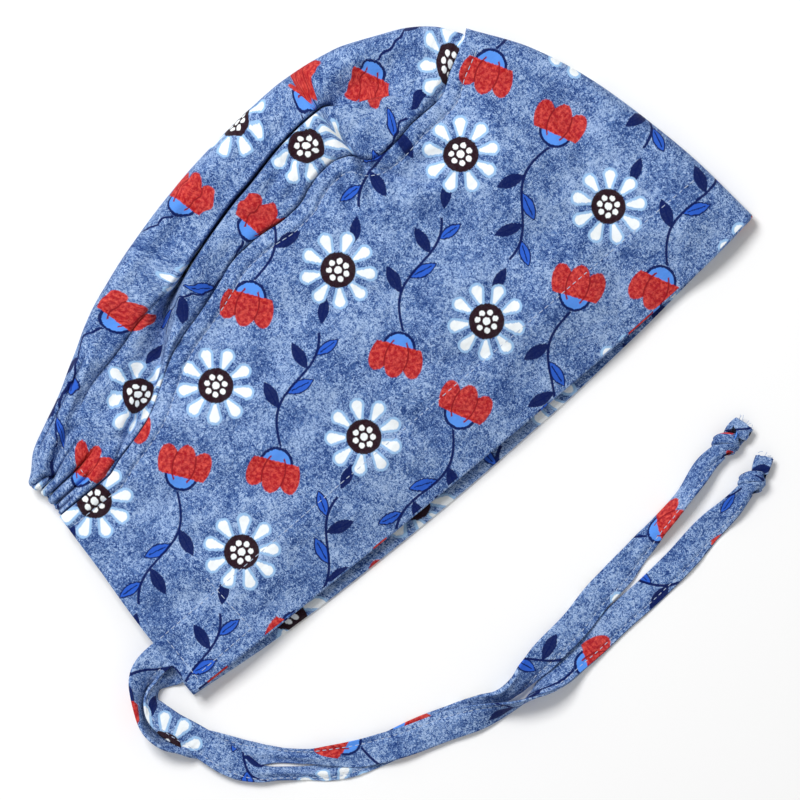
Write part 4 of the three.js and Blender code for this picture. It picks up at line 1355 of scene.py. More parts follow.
@dataclass
class Knot:
    """An overhand knot in a tie's end, and its short cut tail.

    Attributes:
        name: the piece's name.
        node: the CAD node it stands for.
        tie: the tie it ends.
        tail: how far the tail's end lies to the side, mm.
        widths: of the tail, from the knot to its cut end, mm.
        cloth: where on the printed cloth it was cut, mm.
        rings: cells along its strip.
        around: cells round its strip.
    """

    name: str
    node: str
    tie: Tie
    tail: float
    widths: tuple[float, ...]
    cloth: tuple[float, float]
    rings: int = 150
    around: int = 20

    MIDDLE = 4.2  # height of the knot's middle above the surface, mm
    STEP = 0.05  # rows to both sides of a point, for its direction
    CORE = (3.0, 5.0)  # the strip faces away from this part of the knot's axis, mm
    FRAYS = 9  # loose threads at the cut end
    LOOP = (
        # along, aside, up, width and thickness of the strip
        (-2.2, 0.0, 0.0, 6.8, 2.4),
        (0.6, 0.3, 1.2, 6.2, 2.2),
        (3.2, -0.8, 2.3, 5.4, 2.0),
        (5.2, -3.1, 1.2, 5.0, 2.0),
        (4.6, -3.9, -1.2, 5.0, 2.0),
        (2.2, -1.9, -2.5, 5.0, 2.0),
        (0.8, 1.6, -2.3, 5.0, 2.0),
        (1.2, 3.9, -0.4, 5.0, 2.0),
        (3.4, 3.4, 1.8, 5.0, 2.0),
        (5.8, 1.2, 2.6, 4.8, 1.9),
        (7.4, -1.4, 1.6, 4.8, 1.9),
        (7.2, -2.0, -0.6, 5.2, 1.9),
        (7.6, -0.6, -0.8, 5.8, 2.0),
        (9.4, 0.3, -0.2, 6.6, 2.0),
        (12.0, 0.8, 0.0, 7.6, 1.7),
        (14.6, 1.1, -0.3, 7.8, 1.3),
    )

    def local(self, points: Array) -> Array:
        """Turns places round the knot into places in the cap's own frame.

        Args:
            points: along, aside and up from the knot's start, mm.

        Returns:
            x, y and z of each point, mm.
        """
        start, turn = self.tie.end()
        c, s = math.cos(turn), math.sin(turn)
        along, aside, up = points.T
        x = start[0] + along * c - aside * s
        y = start[1] + along * s + aside * c
        return np.stack([x, y, up + self.MIDDLE], axis=1)

    def table(self) -> Array:
        """Puts this knot's own tail into the loop's rows.

        Returns:
            The rows.
        """
        table = np.asarray(self.LOOP, float)
        table[-3:, 1] += np.array([0.2, 0.6, 1.0]) * self.tail
        table[-len(self.widths) :, 3] = self.widths
        return table

    def outward(self, centre: Array, row: Array, rows: int) -> Array:
        """Which way the strip's outer face looks.

        Args:
            centre: points of the strip's centre line, mm.
            row: the row that each point stands at.
            rows: how many rows the table has.

        Returns:
            A direction for each point: up at both ends and away from the core between them.
        """
        core = np.zeros(centre.shape)
        core[:, 0] = np.clip(centre[:, 0], *self.CORE)
        free = smooth(row, rows - 5.4, rows - 3.4) + 1 - smooth(row, 0, 2)
        return mix(centre - core, 3 * UP, free[:, None])

    def build(self, material: Material) -> Object:
        """Makes the knot in place of its CAD solid.

        Args:
            material: its finish.

        Returns:
            The piece.
        """
        bm, lengthwise, around = grid(self.rings, self.around)
        table = self.table()
        last = len(table) - 1
        row = lengthwise * last
        centre = catmull_rom(table[:, :3], row)
        tangent = direction(table[:, :3], row, self.STEP)
        outward = self.outward(centre, row, len(table))
        up = unit(outward - tangent * np.sum(outward * tangent, axis=1)[:, None])
        side = np.cross(tangent, up)
        at = np.arange(len(table))
        width, thick = Curve(at, table[:, 3])(row), Curve(at, table[:, 4])(row)
        angle = around * 2 * math.pi
        across = np.sign(np.cos(angle)) * np.abs(np.cos(angle)) ** 0.7 * width / 2
        ridges = 0.3 * np.cos(across * 2.3 + 0.4 * row) * smooth(row, 0.5, 2)
        height = np.sin(angle) * thick / 2 + ridges * np.sign(np.sin(angle))
        cut = smooth(row, last - 0.25, last)
        frayed = cut * (0.22 * np.cos(across * 2.7) + 0.14 * across)
        points = centre + side * across[:, None] + up * height[:, None]
        placed = self.local(points + tangent * frayed[:, None])
        placed[:, 2] = np.maximum(placed[:, 2], TIE_REST)
        uv = np.stack([row * 3, across * 1.4], axis=1) + np.array(self.cloth)
        rolled(bm, placed, uv)
        obj = piece(self.name, mesh_of(self.name, bm, material))
        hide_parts(self.node)
        return obj

    def threads(self) -> list[Array]:
        """Draws loose threads at the cut end of the tail.

        Returns:
            The points of each thread, mm.
        """
        rng = np.random.default_rng(int(self.cloth[0]))
        found = []
        end = self.LOOP[-1]
        t = np.linspace(0, 1, 6)
        for _ in range(self.FRAYS):
            side = rng.uniform(-3.2, 3.2)
            reach, bend = rng.uniform(1.2, 2.6), rng.uniform(-1.2, 1.2)
            along = end[0] - 0.6 + reach * t
            aside = end[1] + self.tail + side + bend * t**2
            up = end[2] + rng.uniform(-0.3, 0.3) + 0.7 * np.sin(3 * t) * rng.uniform(-0.4, 1)
            found.append(self.local(np.stack([along, aside, up], axis=1)))
        return found


@dataclass
class Stitching:
    """A line of machine stitches, each a short rounded thread that dips into the cloth.

    Attributes:
        name: the piece's name.
        pitch: from one stitch to the next, mm.
        gap: of cloth between two stitches, mm.
        radius: of the thread, mm.
    """

    name: str
    pitch: float = 3.0
    gap: float = 0.9
    radius: float = 0.16

    SAMPLES = 1500  # of the stitch line
    DIP = (-0.25, 0.1, 0.2, 0.2, 0.1, -0.25)  # height of a stitch from end to end, mm

    def threads(self, line: Line) -> list[Array]:
        """The threads of one stitch line.

        Args:
            line: gives points of the cloth's surface at shares from 0 to 1 of the line.

        Returns:
            The points of each thread, mm.
        """
        share = np.linspace(0, 1, self.SAMPLES)
        length = lengths(line(share))
        count = max(int(length[-1] / self.pitch), 1)
        found = []
        for k in range(count):
            start = k * self.pitch + self.gap / 2
            at = np.linspace(start, start + self.pitch - self.gap, len(self.DIP))
            thread = line(np.interp(at, length, share))
            thread[:, 2] = np.maximum(thread[:, 2] + np.array(self.DIP), self.radius)
            found.append(thread)
        return found

    def build(
        self, threads: Sequence[Array], material: Material
    ) -> Object:
        """Makes one object of all the threads.

        Args:
            threads: the points of each thread, mm.
            material: their finish.

        Returns:
            The piece.
        """
        curve = bpy.data.curves.new(self.name, "CURVE")
        curve.dimensions = "3D"
        curve.bevel_depth = self.radius * MM
        curve.bevel_resolution = 1
        curve.use_fill_caps = True
        curve.resolution_u = 1
        for thread in threads:
            spline = curve.splines.new("POLY")
            spline.points.add(len(thread) - 1)
            row = np.concatenate([place(thread), np.ones((len(thread), 1))], axis=1)
            spline.points.foreach_set("co", row.astype(np.float32).ravel())
        curve.materials.append(material)
        return piece(self.name, curve)


# Finishes


def srgb(red: int, green: int, blue: int) -> tuple[float, float, float, float]:
    """Turns a screen colour into the linear colour that a shader takes.

    Args:
        red: from 0 to 255.
        green: from 0 to 255.
        blue: from 0 to 255.

    Returns:
        Red, green, blue and an alpha of 1, from 0 to 1.
    """

    def linear(value: int) -> float:
        """One channel."""
        share = value / 255
        return share / 12.92 if share <= 0.04045 else ((share + 0.055) / 1.055) ** 2.4

    return (linear(red), linear(green), linear(blue), 1.0)


class Dye(Enum):
    """The colours of the printed cotton and its thread."""

    GROUND = (89, 123, 180)
    GROUND_DARK = (36, 64, 124)
    GROUND_LIGHT = (166, 190, 226)
    NAVY = (6, 24, 86)
    BRIGHT_BLUE = (46, 96, 204)
    CUP_BLUE = (88, 148, 238)
    RED = (170, 24, 26)
    RED_LIGHT = (238, 92, 74)
    RED_DARK = (140, 26, 34)
    PETAL = (247, 252, 254)
    PETAL_EDGE = (142, 188, 234)
    DISC = (40, 10, 10)
    THREAD = (186, 198, 218)

    def colour(self) -> tuple[float, float, float, float]:
        """The colour as a shader takes it."""
        return srgb(*self.value)


class Field:
    """A number that varies over a surface: an output of a node tree, with its arithmetic."""

    def __init__(self, tree: NodeTree, socket: NodeSocket) -> None:
        """Wraps one output socket."""
        self.tree = tree
        self.socket = socket

    def math(self, operation: str, *others: Field | float) -> Field:
        """One Math node on this number and others."""
        return combine(self.tree, operation, self, *others)

    def __add__(self, other: Field | float) -> Field:
        """This number plus another."""
        return self.math("ADD", other)

    def __radd__(self, other: float) -> Field:
        """A plain number plus this one."""
        return combine(self.tree, "ADD", other, self)

    def __sub__(self, other: Field | float) -> Field:
        """This number less another."""
        return self.math("SUBTRACT", other)

    def __rsub__(self, other: float) -> Field:
        """A plain number less this one."""
        return combine(self.tree, "SUBTRACT", other, self)

    def __mul__(self, other: Field | float) -> Field:
        """This number times another."""
        return self.math("MULTIPLY", other)

    def __rmul__(self, other: float) -> Field:
        """A plain number times this one."""
        return combine(self.tree, "MULTIPLY", other, self)

    def __truediv__(self, other: Field | float) -> Field:
        """This number divided by another."""
        return self.math("DIVIDE", other)

    def absolute(self) -> Field:
        """Its size without its sign."""
        return self.math("ABSOLUTE")

    def sin(self) -> Field:
        """Its sine."""
        return self.math("SINE")

    def cos(self) -> Field:
        """Its cosine."""
        return self.math("COSINE")

    def nearest(self) -> Field:
        """The whole number nearest to it."""
        return self.math("ROUND")

    def clamped(self) -> Field:
        """It, held between 0 and 1."""
        return self.math("MAXIMUM", 0.0).math("MINIMUM", 1.0)

    def inside(self, soft: float = 0.12) -> Field:
        """1 where this distance is below 0, and 0 where it is above, with a soft edge."""
        return (0.5 - self / (2 * soft)).clamped()


def combine(tree: NodeTree, operation: str, *values: Field | float) -> Field:
    """Makes one Math node.

    Args:
        tree: the tree that it stands in.
        operation: what it does.
        values: its inputs, each a plain number or one that varies.

    Returns:
        Its output.
    """
    node = tree.nodes.new("ShaderNodeMath")
    node.operation = operation
    for socket, value in zip(node.inputs, values):
        if isinstance(value, Field):
            tree.links.new(value.socket, socket)
        else:
            socket.default_value = value
    return Field(tree, node.outputs[0])


def length(x: Field, y: Field) -> Field:
    """Distance from 0, 0."""
    return (x * x + y * y).math("SQRT")


def rotated(x: Field, y: Field, angle: float) -> tuple[Field, Field]:
    """A point in axes that are turned by an angle."""
    c, s = math.cos(angle), math.sin(angle)
    return x * c + y * s, y * c - x * s


def settle(node: Node, values: dict[str, float | tuple[float, ...]]) -> None:
    """Sets a node's inputs by their names."""
    for title, value in values.items():
        node.inputs[title].default_value = value


class Graph:
    """A node tree under construction, as a material or a group."""

    def __init__(self, tree: NodeTree) -> None:
        """Wraps the tree."""
        self.tree = tree
        self.nodes = tree.nodes

    def node(self, kind: str, **settings: object) -> Node:
        """Makes a new node.

        Args:
            kind: its type.
            settings: its properties by name.

        Returns:
            The node.
        """
        node = self.nodes.new(kind)
        for name, value in settings.items():
            setattr(node, name, value)
        return node

    def link(self, source: Field | NodeSocket, target: NodeSocket) -> None:
        """Joins an output to an input."""
        self.tree.links.new(source.socket if isinstance(source, Field) else source, target)

    def field(self, socket: NodeSocket) -> Field:
        """An output as a number."""
        return Field(self.tree, socket)

    def vector(self, x: Field, y: Field) -> NodeSocket:
        """Makes a flat vector.

        Args:
            x: its first coordinate.
            y: its second one.

        Returns:
            The vector.
        """
        node = self.node("ShaderNodeCombineXYZ")
        self.link(x, node.inputs["X"])
        self.link(y, node.inputs["Y"])
        return node.outputs["Vector"]

    def noise(
        self, x: Field, y: Field, detail: float = 2.0, rough: float = 0.5, warp: float = 0.0
    ) -> Field:
        """Smooth noise between 0 and 1.

        Args:
            x: first coordinate, in typical wavelengths.
            y: second coordinate.
            detail: how many finer layers of noise are added.
            rough: how strong each finer layer is.
            warp: how far the pattern is bent.

        Returns:
            The noise.
        """
        node = self.node("ShaderNodeTexNoise", noise_dimensions="2D")
        settle(node, {"Scale": 1.0, "Detail": detail, "Roughness": rough, "Distortion": warp})
        self.link(self.vector(x, y), node.inputs["Vector"])
        return self.field(node.outputs["Fac"])

    def stain(
        self, under: NodeSocket, dye: NodeSocket | Dye, mask: Field
    ) -> NodeSocket:
        """Puts a colour over another one, where a mask says.

        Args:
            under: the colour beneath.
            dye: the colour on top.
            mask: 1 where the colour on top shows.

        Returns:
            The colour that shows.
        """
        node = self.node("ShaderNodeMix", data_type="RGBA")
        self.link(mask, node.inputs["Factor"])
        self.link(under, node.inputs["A"])
        if isinstance(dye, Dye):
            settle(node, {"B": dye.colour()})
        else:
            self.link(dye, node.inputs["B"])
        return node.outputs["Result"]

    def blend(self, low: Dye, high: Dye, share: Field) -> NodeSocket:
        """Blends two dyes.

        Args:
            low: the dye at a share of 0.
            high: the dye at a share of 1.
            share: from 0 to 1.

        Returns:
            The colour.
        """
        node = self.node("ShaderNodeMix", data_type="RGBA")
        self.link(share, node.inputs["Factor"])
        settle(node, {"A": low.colour(), "B": high.colour()})
        return node.outputs["Result"]

    def bump(self, height: Field, strength: float, distance: float) -> NodeSocket:
        """A surface's normal over small bumps.

        Args:
            height: of the bumps.
            strength: how much they show, from 0 to 1.
            distance: size of a height of 1, mm.

        Returns:
            The normal.
        """
        node = self.node("ShaderNodeBump")
        settle(node, {"Strength": strength, "Distance": distance * MM})
        self.link(height, node.inputs["Height"])
        return node.outputs["Normal"]


def new_material(name: str) -> tuple[Material, Graph, Node]:
    """Makes a new material.

    Args:
        name: its name.

    Returns:
        The material, its tree as a graph and its shader.
    """
    material = bpy.data.materials.new(name)
    material.use_nodes = True
    graph = Graph(material.node_tree)
    return material, graph, graph.nodes["Principled BSDF"]


class Group(Graph):
    """A node group whose inputs and outputs are numbers or colours."""

    def __init__(self, name: str, inputs: Sequence[str], outputs: Sequence[str]) -> None:
        """Makes the group's sockets.

        Args:
            name: the group's name.
            inputs: names of its inputs, all numbers.
            outputs: names of its outputs, of which one that ends in Colour is a colour.
        """
        tree = bpy.data.node_groups.new(name, "ShaderNodeTree")
        for title in inputs:
            tree.interface.new_socket(name=title, in_out="INPUT", socket_type="NodeSocketFloat")
        for title in outputs:
            kind = "NodeSocketColor" if title.endswith("Colour") else "NodeSocketFloat"
            tree.interface.new_socket(name=title, in_out="OUTPUT", socket_type=kind)
        super().__init__(tree)
        given = self.node("NodeGroupInput")
        self.given = [self.field(given.outputs[title]) for title in inputs]
        self.result = self.node("NodeGroupOutput")

    def give(self, title: str, value: Field | NodeSocket) -> None:
        """Sets one of the group's outputs."""
        self.link(value, self.result.inputs[title])

    def used(self, graph: Graph, *values: Field) -> Node:
        """Puts this group into another tree.

        Args:
            graph: the other tree.
            values: the group's inputs, in order.

        Returns:
            The group's node there.
        """
        node = graph.node("ShaderNodeGroup", node_tree=self.tree)
        for value, socket in zip(values, node.inputs):
            graph.link(value, socket)
        return node


@dataclass(frozen=True)
class Repeat:
    """The print's repeat: bricks that each hold one tulip, with a daisy at their joints, mm."""

    length: float = 118.0
    height: float = 31.0
    turned: float = 0.53  # of the whole print on the cloth, radians
    tilted: float = 0.22  # of one tulip against the next, radians

    def group(self) -> Group:
        """Gives a point's place in its brick and at its nearest daisy.

        Returns:
            The group.
        """
        group = Group(
            "print_repeat", ("U", "V"), ("X", "Y", "Daisy X", "Daisy Y", "Daisy Turn")
        )
        u, v = group.given
        u, v = rotated(u, v, self.turned)
        row = (v / self.height).nearest()
        odd = row.math("FLOORED_MODULO", 2.0)
        along = u - odd * (self.length / 2)
        brick = (along / self.length).nearest()
        x = along - brick * self.length
        y = v - row * self.height
        chance = group.node("ShaderNodeTexWhiteNoise", noise_dimensions="2D")
        group.link(group.vector(brick, row), chance.inputs["Vector"])
        parts = group.node("ShaderNodeSeparateColor")
        group.link(chance.outputs["Color"], parts.inputs["Color"])
        picks = [group.field(parts.outputs[k]) for k in range(3)]
        flip_x = 2 * picks[0].math("GREATER_THAN", 0.5) - 1
        flip_y = 2 * picks[1].math("GREATER_THAN", 0.5) - 1
        tilt = (picks[2] - 0.5) * self.tilted
        group.give("X", (x + y * tilt) * flip_x)
        group.give("Y", (y - x * tilt) * flip_y)
        side = x.math("SIGN")
        group.give("Daisy X", x - side * (self.length / 2))
        group.give("Daisy Y", y)
        group.give("Daisy Turn", (brick + side * 0.5) * 2.3 + row * 1.7)
        return group


@dataclass(frozen=True)
class Daisy:
    """A daisy seen from above, mm."""

    petals: int = 9
    petal_from: float = 8.0
    petal_to: float = 12.6
    petal_half_width: tuple[float, float] = (1.7, 3.1)
    disc: float = 7.0
    dots: tuple[int, float, float] = (7, 3.6, 1.15)  # count, distance from the middle and radius
    middle_dot: float = 1.5

    def group(self) -> Group:
        """Gives the masks of the petals, their pale edges, the disc and its dots.

        Returns:
            The group.
        """
        group = Group("daisy", ("X", "Y", "Turn"), ("Petals", "Edge", "Disc", "Dots"))
        x, y, turn = group.given
        radius = length(x, y)
        angle = y.math("ARCTAN2", x) + turn

        def folded(count: int) -> tuple[Field, Field]:
            """Folds the flower into one of some even rays.

            Args:
                count: number of rays.

            Returns:
                The place along the nearest ray and aside of it.
            """
            part = 2 * math.pi / count
            inside = angle - (angle / part).nearest() * part
            return radius * inside.cos(), radius * inside.sin()

        along, aside = folded(self.petals)
        reach = self.petal_to - self.petal_from
        share = ((along - self.petal_from) / reach).clamped()
        narrow, wide = self.petal_half_width
        petal = length(along - self.petal_from - share * reach, aside)
        petal = petal - narrow - share * (wide - narrow)
        group.give("Petals", petal.inside(0.2))
        group.give("Edge", ((petal + 1.2) / 0.35).clamped())
        group.give("Disc", (radius - self.disc).inside(0.15))
        count, out, dot = self.dots
        along, aside = folded(count)
        dots = (length(along - out, aside) - dot).math("MINIMUM", radius - self.middle_dot)
        group.give("Dots", dots.inside(0.15))
        return group


@dataclass(frozen=True)
class Tulip:
    """A tulip seen from the side, with a round cup under three red lobes, mm."""

    base: float = -15.0  # of the cup, from the middle of the brick
    cup: float = 6.8
    outline: float = 1.1

    def group(self) -> Group:
        """Gives the masks of the petals, the line between them, the cup and its outline.

        Returns:
            The group.
        """
        group = Group("tulip", ("X", "Y"), ("Petals", "Fold", "Cup", "Outline"))
        x, y = group.given
        x = self.base - x
        spread = y.absolute()

        def lobe(cx: float, cy: float, rx: float, ry: float, lean: float) -> Field:
            """Distance to an ellipse, below 0 inside it."""
            along, aside = rotated(x - cx, spread - cy, lean)
            return (length(along / rx, aside / ry) - 1) * min(rx, ry)

        middle = lobe(10.5, 0, 8.0, 4.5, 0)
        outer = lobe(9.8, 6.2, 7.6, 4.3, 0.26)
        petals = middle.math("MINIMUM", outer).math("MAXIMUM", 5.4 - x)
        group.give("Petals", petals.inside(0.15))
        fold = (middle.absolute() - 0.28).math("MAXIMUM", outer)
        group.give("Fold", fold.inside(0.12))
        cup = (length(x - 6.6, y) - self.cup).math("MAXIMUM", x - 7.0)
        group.give("Outline", cup.inside(0.12))
        group.give("Cup", (cup + self.outline).inside(0.12))
        return group


@dataclass(frozen=True)
class Stem:
    """A tulip's curved stem with its pointed leaves, mm."""

    start: float = -14.5
    end: float = 33.0
    sway: float = 4.6
    bend: float = 0.115  # radians of its curve for each mm
    leaves: tuple[tuple[float, float, float, float], ...] = (
        # place along the stem, angle, half length and half width
        (0.0, 0.75, 6.0, 2.5),
        (6.5, -0.85, 6.2, 2.6),
        (18.0, 0.8, 6.0, 2.4),
        (24.0, -0.7, 5.6, 2.3),
        (36.5, 0.1, 5.6, 2.2),
    )

    def curve(self, at: float) -> float:
        """How far aside the stem is at one place."""
        return self.sway * math.sin((at - self.start) * self.bend)

    def group(self) -> Group:
        """Gives the masks of the stem, the dark leaves and the bright leaves.

        Returns:
            The group.
        """
        group = Group("stem", ("X", "Y"), ("Line", "Dark", "Bright"))
        x, y = group.given
        aside = ((x - self.start) * self.bend).sin() * self.sway
        line = (y - aside).absolute() * 0.9 - 0.5
        line = line.math("MAXIMUM", self.start - x).math("MAXIMUM", x - self.end)
        shapes: dict[bool, Field] = {}
        for number, (at, angle, half, wide) in enumerate(self.leaves):
            cx = at + half * math.cos(angle)
            cy = self.curve(min(at, self.end)) + half * math.sin(angle)
            along, across = rotated(x - cx, y - cy, angle)
            share = along / half
            leaf = (across.absolute() - wide * (1 - share * share)) * 0.9
            vein = (across.absolute() - 0.22).math("MAXIMUM", along.absolute() - half * 0.6)
            line = line.math("MINIMUM", vein)
            bright = number % 2 == 1
            shapes[bright] = shapes[bright].math("MINIMUM", leaf) if bright in shapes else leaf
        group.give("Line", line.inside(0.12))
        group.give("Dark", shapes[False].math("MINIMUM", shapes[True]).inside(0.12))
        group.give("Bright", (shapes[True] + 0.5).inside(0.12))
        return group


@dataclass(frozen=True)
class WashedGround:
    """The mottled blue under the print, with short pale fibres and dark specks, mm."""

    cloud: float = 15.0
    speck: float = 1.1
    fibre: float = 1.4
    streak: tuple[float, float] = (3.2, 0.6)  # length and width of the marks along the threads
    contrast: float = 1.9

    def fibres(self, group: Group, u: Field, v: Field) -> Field:
        """Squiggles about a millimetre long, from 0 to 1."""
        noise = group.noise(u / self.fibre, v / self.fibre, 1.0, 0.5, 1.1)
        return (1 - (noise - 0.5).absolute() * 11).clamped()

    def group(self) -> Group:
        """Gives the ground's colour, and its streaks and fibres for the print.

        Returns:
            The group.
        """
        group = Group("washed_ground", ("U", "V"), ("Colour", "Streaks", "Fibres"))
        u, v = group.given
        clouds = group.noise(u / self.cloud, v / self.cloud, 4, 0.62)
        specks = group.noise(u / self.speck + 31.0, v / self.speck, 2, 0.6)
        run, thin = self.streak
        warp = group.noise(u / thin, v / run + 7.0, 1, 0.6)
        weft = group.noise(u / run + 11.0, v / thin, 1, 0.6)
        streaks = (warp + weft) * 0.5
        pale = self.fibres(group, u, v)
        dark_fibres = self.fibres(group, u + 53.0, v + 17.0)
        tone = 0.5 + (clouds - 0.5) * 1.5 + (specks - 0.5) * 0.8 + (streaks - 0.5)
        tone = tone + pale * 0.76 - dark_fibres * 0.72
        dark = ((0.5 - tone) * self.contrast).clamped()
        light = ((tone - 0.5) * self.contrast).clamped()
        base = group.blend(Dye.GROUND, Dye.GROUND_DARK, dark)
        group.give("Colour", group.stain(base, Dye.GROUND_LIGHT, light))
        group.give("Streaks", streaks)
        group.give("Fibres", pale - dark_fibres)
        return group


@dataclass(frozen=True)
class PrintedCotton:
    """Light plain-weave cotton with a floral print of daisies and tulips.

    Attributes:
        roughness: of the dry cloth.
        sheen: of the fuzz on its threads.
        specular: how much it mirrors.
        thread: from one thread of the weave to the next, mm.
        weave_height: of the weave's bumps, mm.
        crumple_height: of its small creases, mm.
        worn: size of the patches where the red has washed out, mm.
        crease: size of its small creases, mm.
        streak_height: of the marks along its threads, mm.
        cover: how much of the ground each dye hides.
    """

    roughness: float = 0.9
    sheen: float = 0.03
    specular: float = 0.12
    thread: float = 0.5
    weave_height: float = 0.03
    crumple_height: float = 0.75
    worn: float = 1.5
    crease: float = 5.5
    streak_height: float = 0.2
    cover: float = 0.97

    def printed(self, graph: Graph, u: Field, v: Field) -> tuple[NodeSocket, Field]:
        """Prints the cloth.

        Args:
            graph: the material's tree.
            u: first coordinate of the place on the cloth, mm.
            v: second coordinate, mm.

        Returns:
            The cloth's colour there, and its streaks.
        """
        ground = WashedGround().group().used(graph, u, v)
        streaks = graph.field(ground.outputs["Streaks"])
        wobble = (streaks - 0.5) * 0.9
        repeat = Repeat().group().used(graph, u + wobble, v + wobble)
        x, y, daisy_x, daisy_y, daisy_turn = (graph.field(s) for s in repeat.outputs)
        stem = Stem().group().used(graph, x, y)
        tulip = Tulip().group().used(graph, x, y)
        daisy = Daisy().group().used(graph, daisy_x, daisy_y, daisy_turn)
        worn = graph.noise(u / self.worn, v / self.worn, 2, 0.6)
        worn = worn + graph.field(ground.outputs["Fibres"]) * 0.07
        red = graph.blend(Dye.RED, Dye.RED_LIGHT, ((worn - 0.38) * 2.0).clamped())
        edge = graph.field(daisy.outputs["Edge"]) * 0.9
        petal = graph.blend(Dye.PETAL, Dye.PETAL_EDGE, edge)
        layers = (
            (Dye.NAVY, stem, "Dark"),
            (Dye.BRIGHT_BLUE, stem, "Bright"),
            (Dye.NAVY, stem, "Line"),
            (Dye.NAVY, tulip, "Outline"),
            (Dye.CUP_BLUE, tulip, "Cup"),
            (red, tulip, "Petals"),
            (Dye.RED_DARK, tulip, "Fold"),
            (petal, daisy, "Petals"),
            (Dye.DISC, daisy, "Disc"),
            (Dye.PETAL, daisy, "Dots"),
        )
        colour = ground.outputs["Colour"]
        for dye, node, title in layers:
            colour = graph.stain(colour, dye, graph.field(node.outputs[title]) * self.cover)
        return colour, streaks

    def material(self, name: str) -> Material:
        """Makes the finish.

        Args:
            name: the material's name.

        Returns:
            The material.
        """
        material, graph, shader = new_material(name)
        cloth = graph.node("ShaderNodeUVMap", uv_map=UV_MAP)
        parts = graph.node("ShaderNodeSeparateXYZ")
        graph.link(cloth.outputs["UV"], parts.inputs["Vector"])
        u, v = (graph.field(parts.outputs[k]) / MM for k in range(2))
        colour, streaks = self.printed(graph, u, v)
        turn = 2 * math.pi / self.thread
        weave = (u * turn).sin() * (v * turn).sin() * self.weave_height
        crumple = graph.noise(u / self.crease, v / self.crease, 2, 0.45) * self.crumple_height
        height = weave + crumple + streaks * self.streak_height
        graph.link(graph.bump(height, 1.0, 1.0), shader.inputs["Normal"])
        graph.link(colour, shader.inputs["Base Color"])
        settle(shader, {"Roughness": self.roughness, "Specular IOR Level": self.specular})
        settle(shader, {"Sheen Weight": self.sheen, "Sheen Roughness": 0.5})
        return material


@dataclass(frozen=True)
class SewingThread:
    """Pale polyester thread with its twist."""

    roughness: float = 0.62
    twist: float = 0.55  # length of one turn, mm
    relief: float = 0.05  # height of one turn, mm

    BANDS = 20  # that the Wave Texture node draws in a length of 1 at a scale of 1

    def material(self, name: str) -> Material:
        """Makes the finish.

        Args:
            name: the material's name.

        Returns:
            The material.
        """
        material, graph, shader = new_material(name)
        where = graph.node("ShaderNodeTexCoord")
        wave = graph.node("ShaderNodeTexWave", wave_type="BANDS", bands_direction="DIAGONAL")
        settle(wave, {"Scale": 1 / (self.twist * MM) / self.BANDS})
        graph.link(where.outputs["Object"], wave.inputs["Vector"])
        bands = graph.field(wave.outputs["Fac"])
        base = graph.blend(Dye.THREAD, Dye.GROUND_LIGHT, bands * 0.5)
        graph.link(graph.bump(bands, 0.5, self.relief), shader.inputs["Normal"])
        graph.link(base, shader.inputs["Base Color"])
        settle(shader, {"Roughness": self.roughness, "Specular IOR Level": 0.4})
        return material


@dataclass(frozen=True)
class PaleFloor:
    """A plain white surface."""

    tone: tuple[int, int, int] = (247, 247, 247)
    glow: float = 0.02  # stands in for the light of a white tent under the surface

    def material(self, name: str) -> Material:
        """Makes the finish.

        Args:
            name: the material's name.

        Returns:
            The material.
        """
        material, _, shader = new_material(name)
        settle(shader, {"Base Color": srgb(*self.tone), "Roughness": 0.8})
        settle(shader, {"Emission Color": WHITE, "Emission Strength": self.glow})
        settle(shader, {"Specular IOR Level": 0.1})
        return material


# Studio


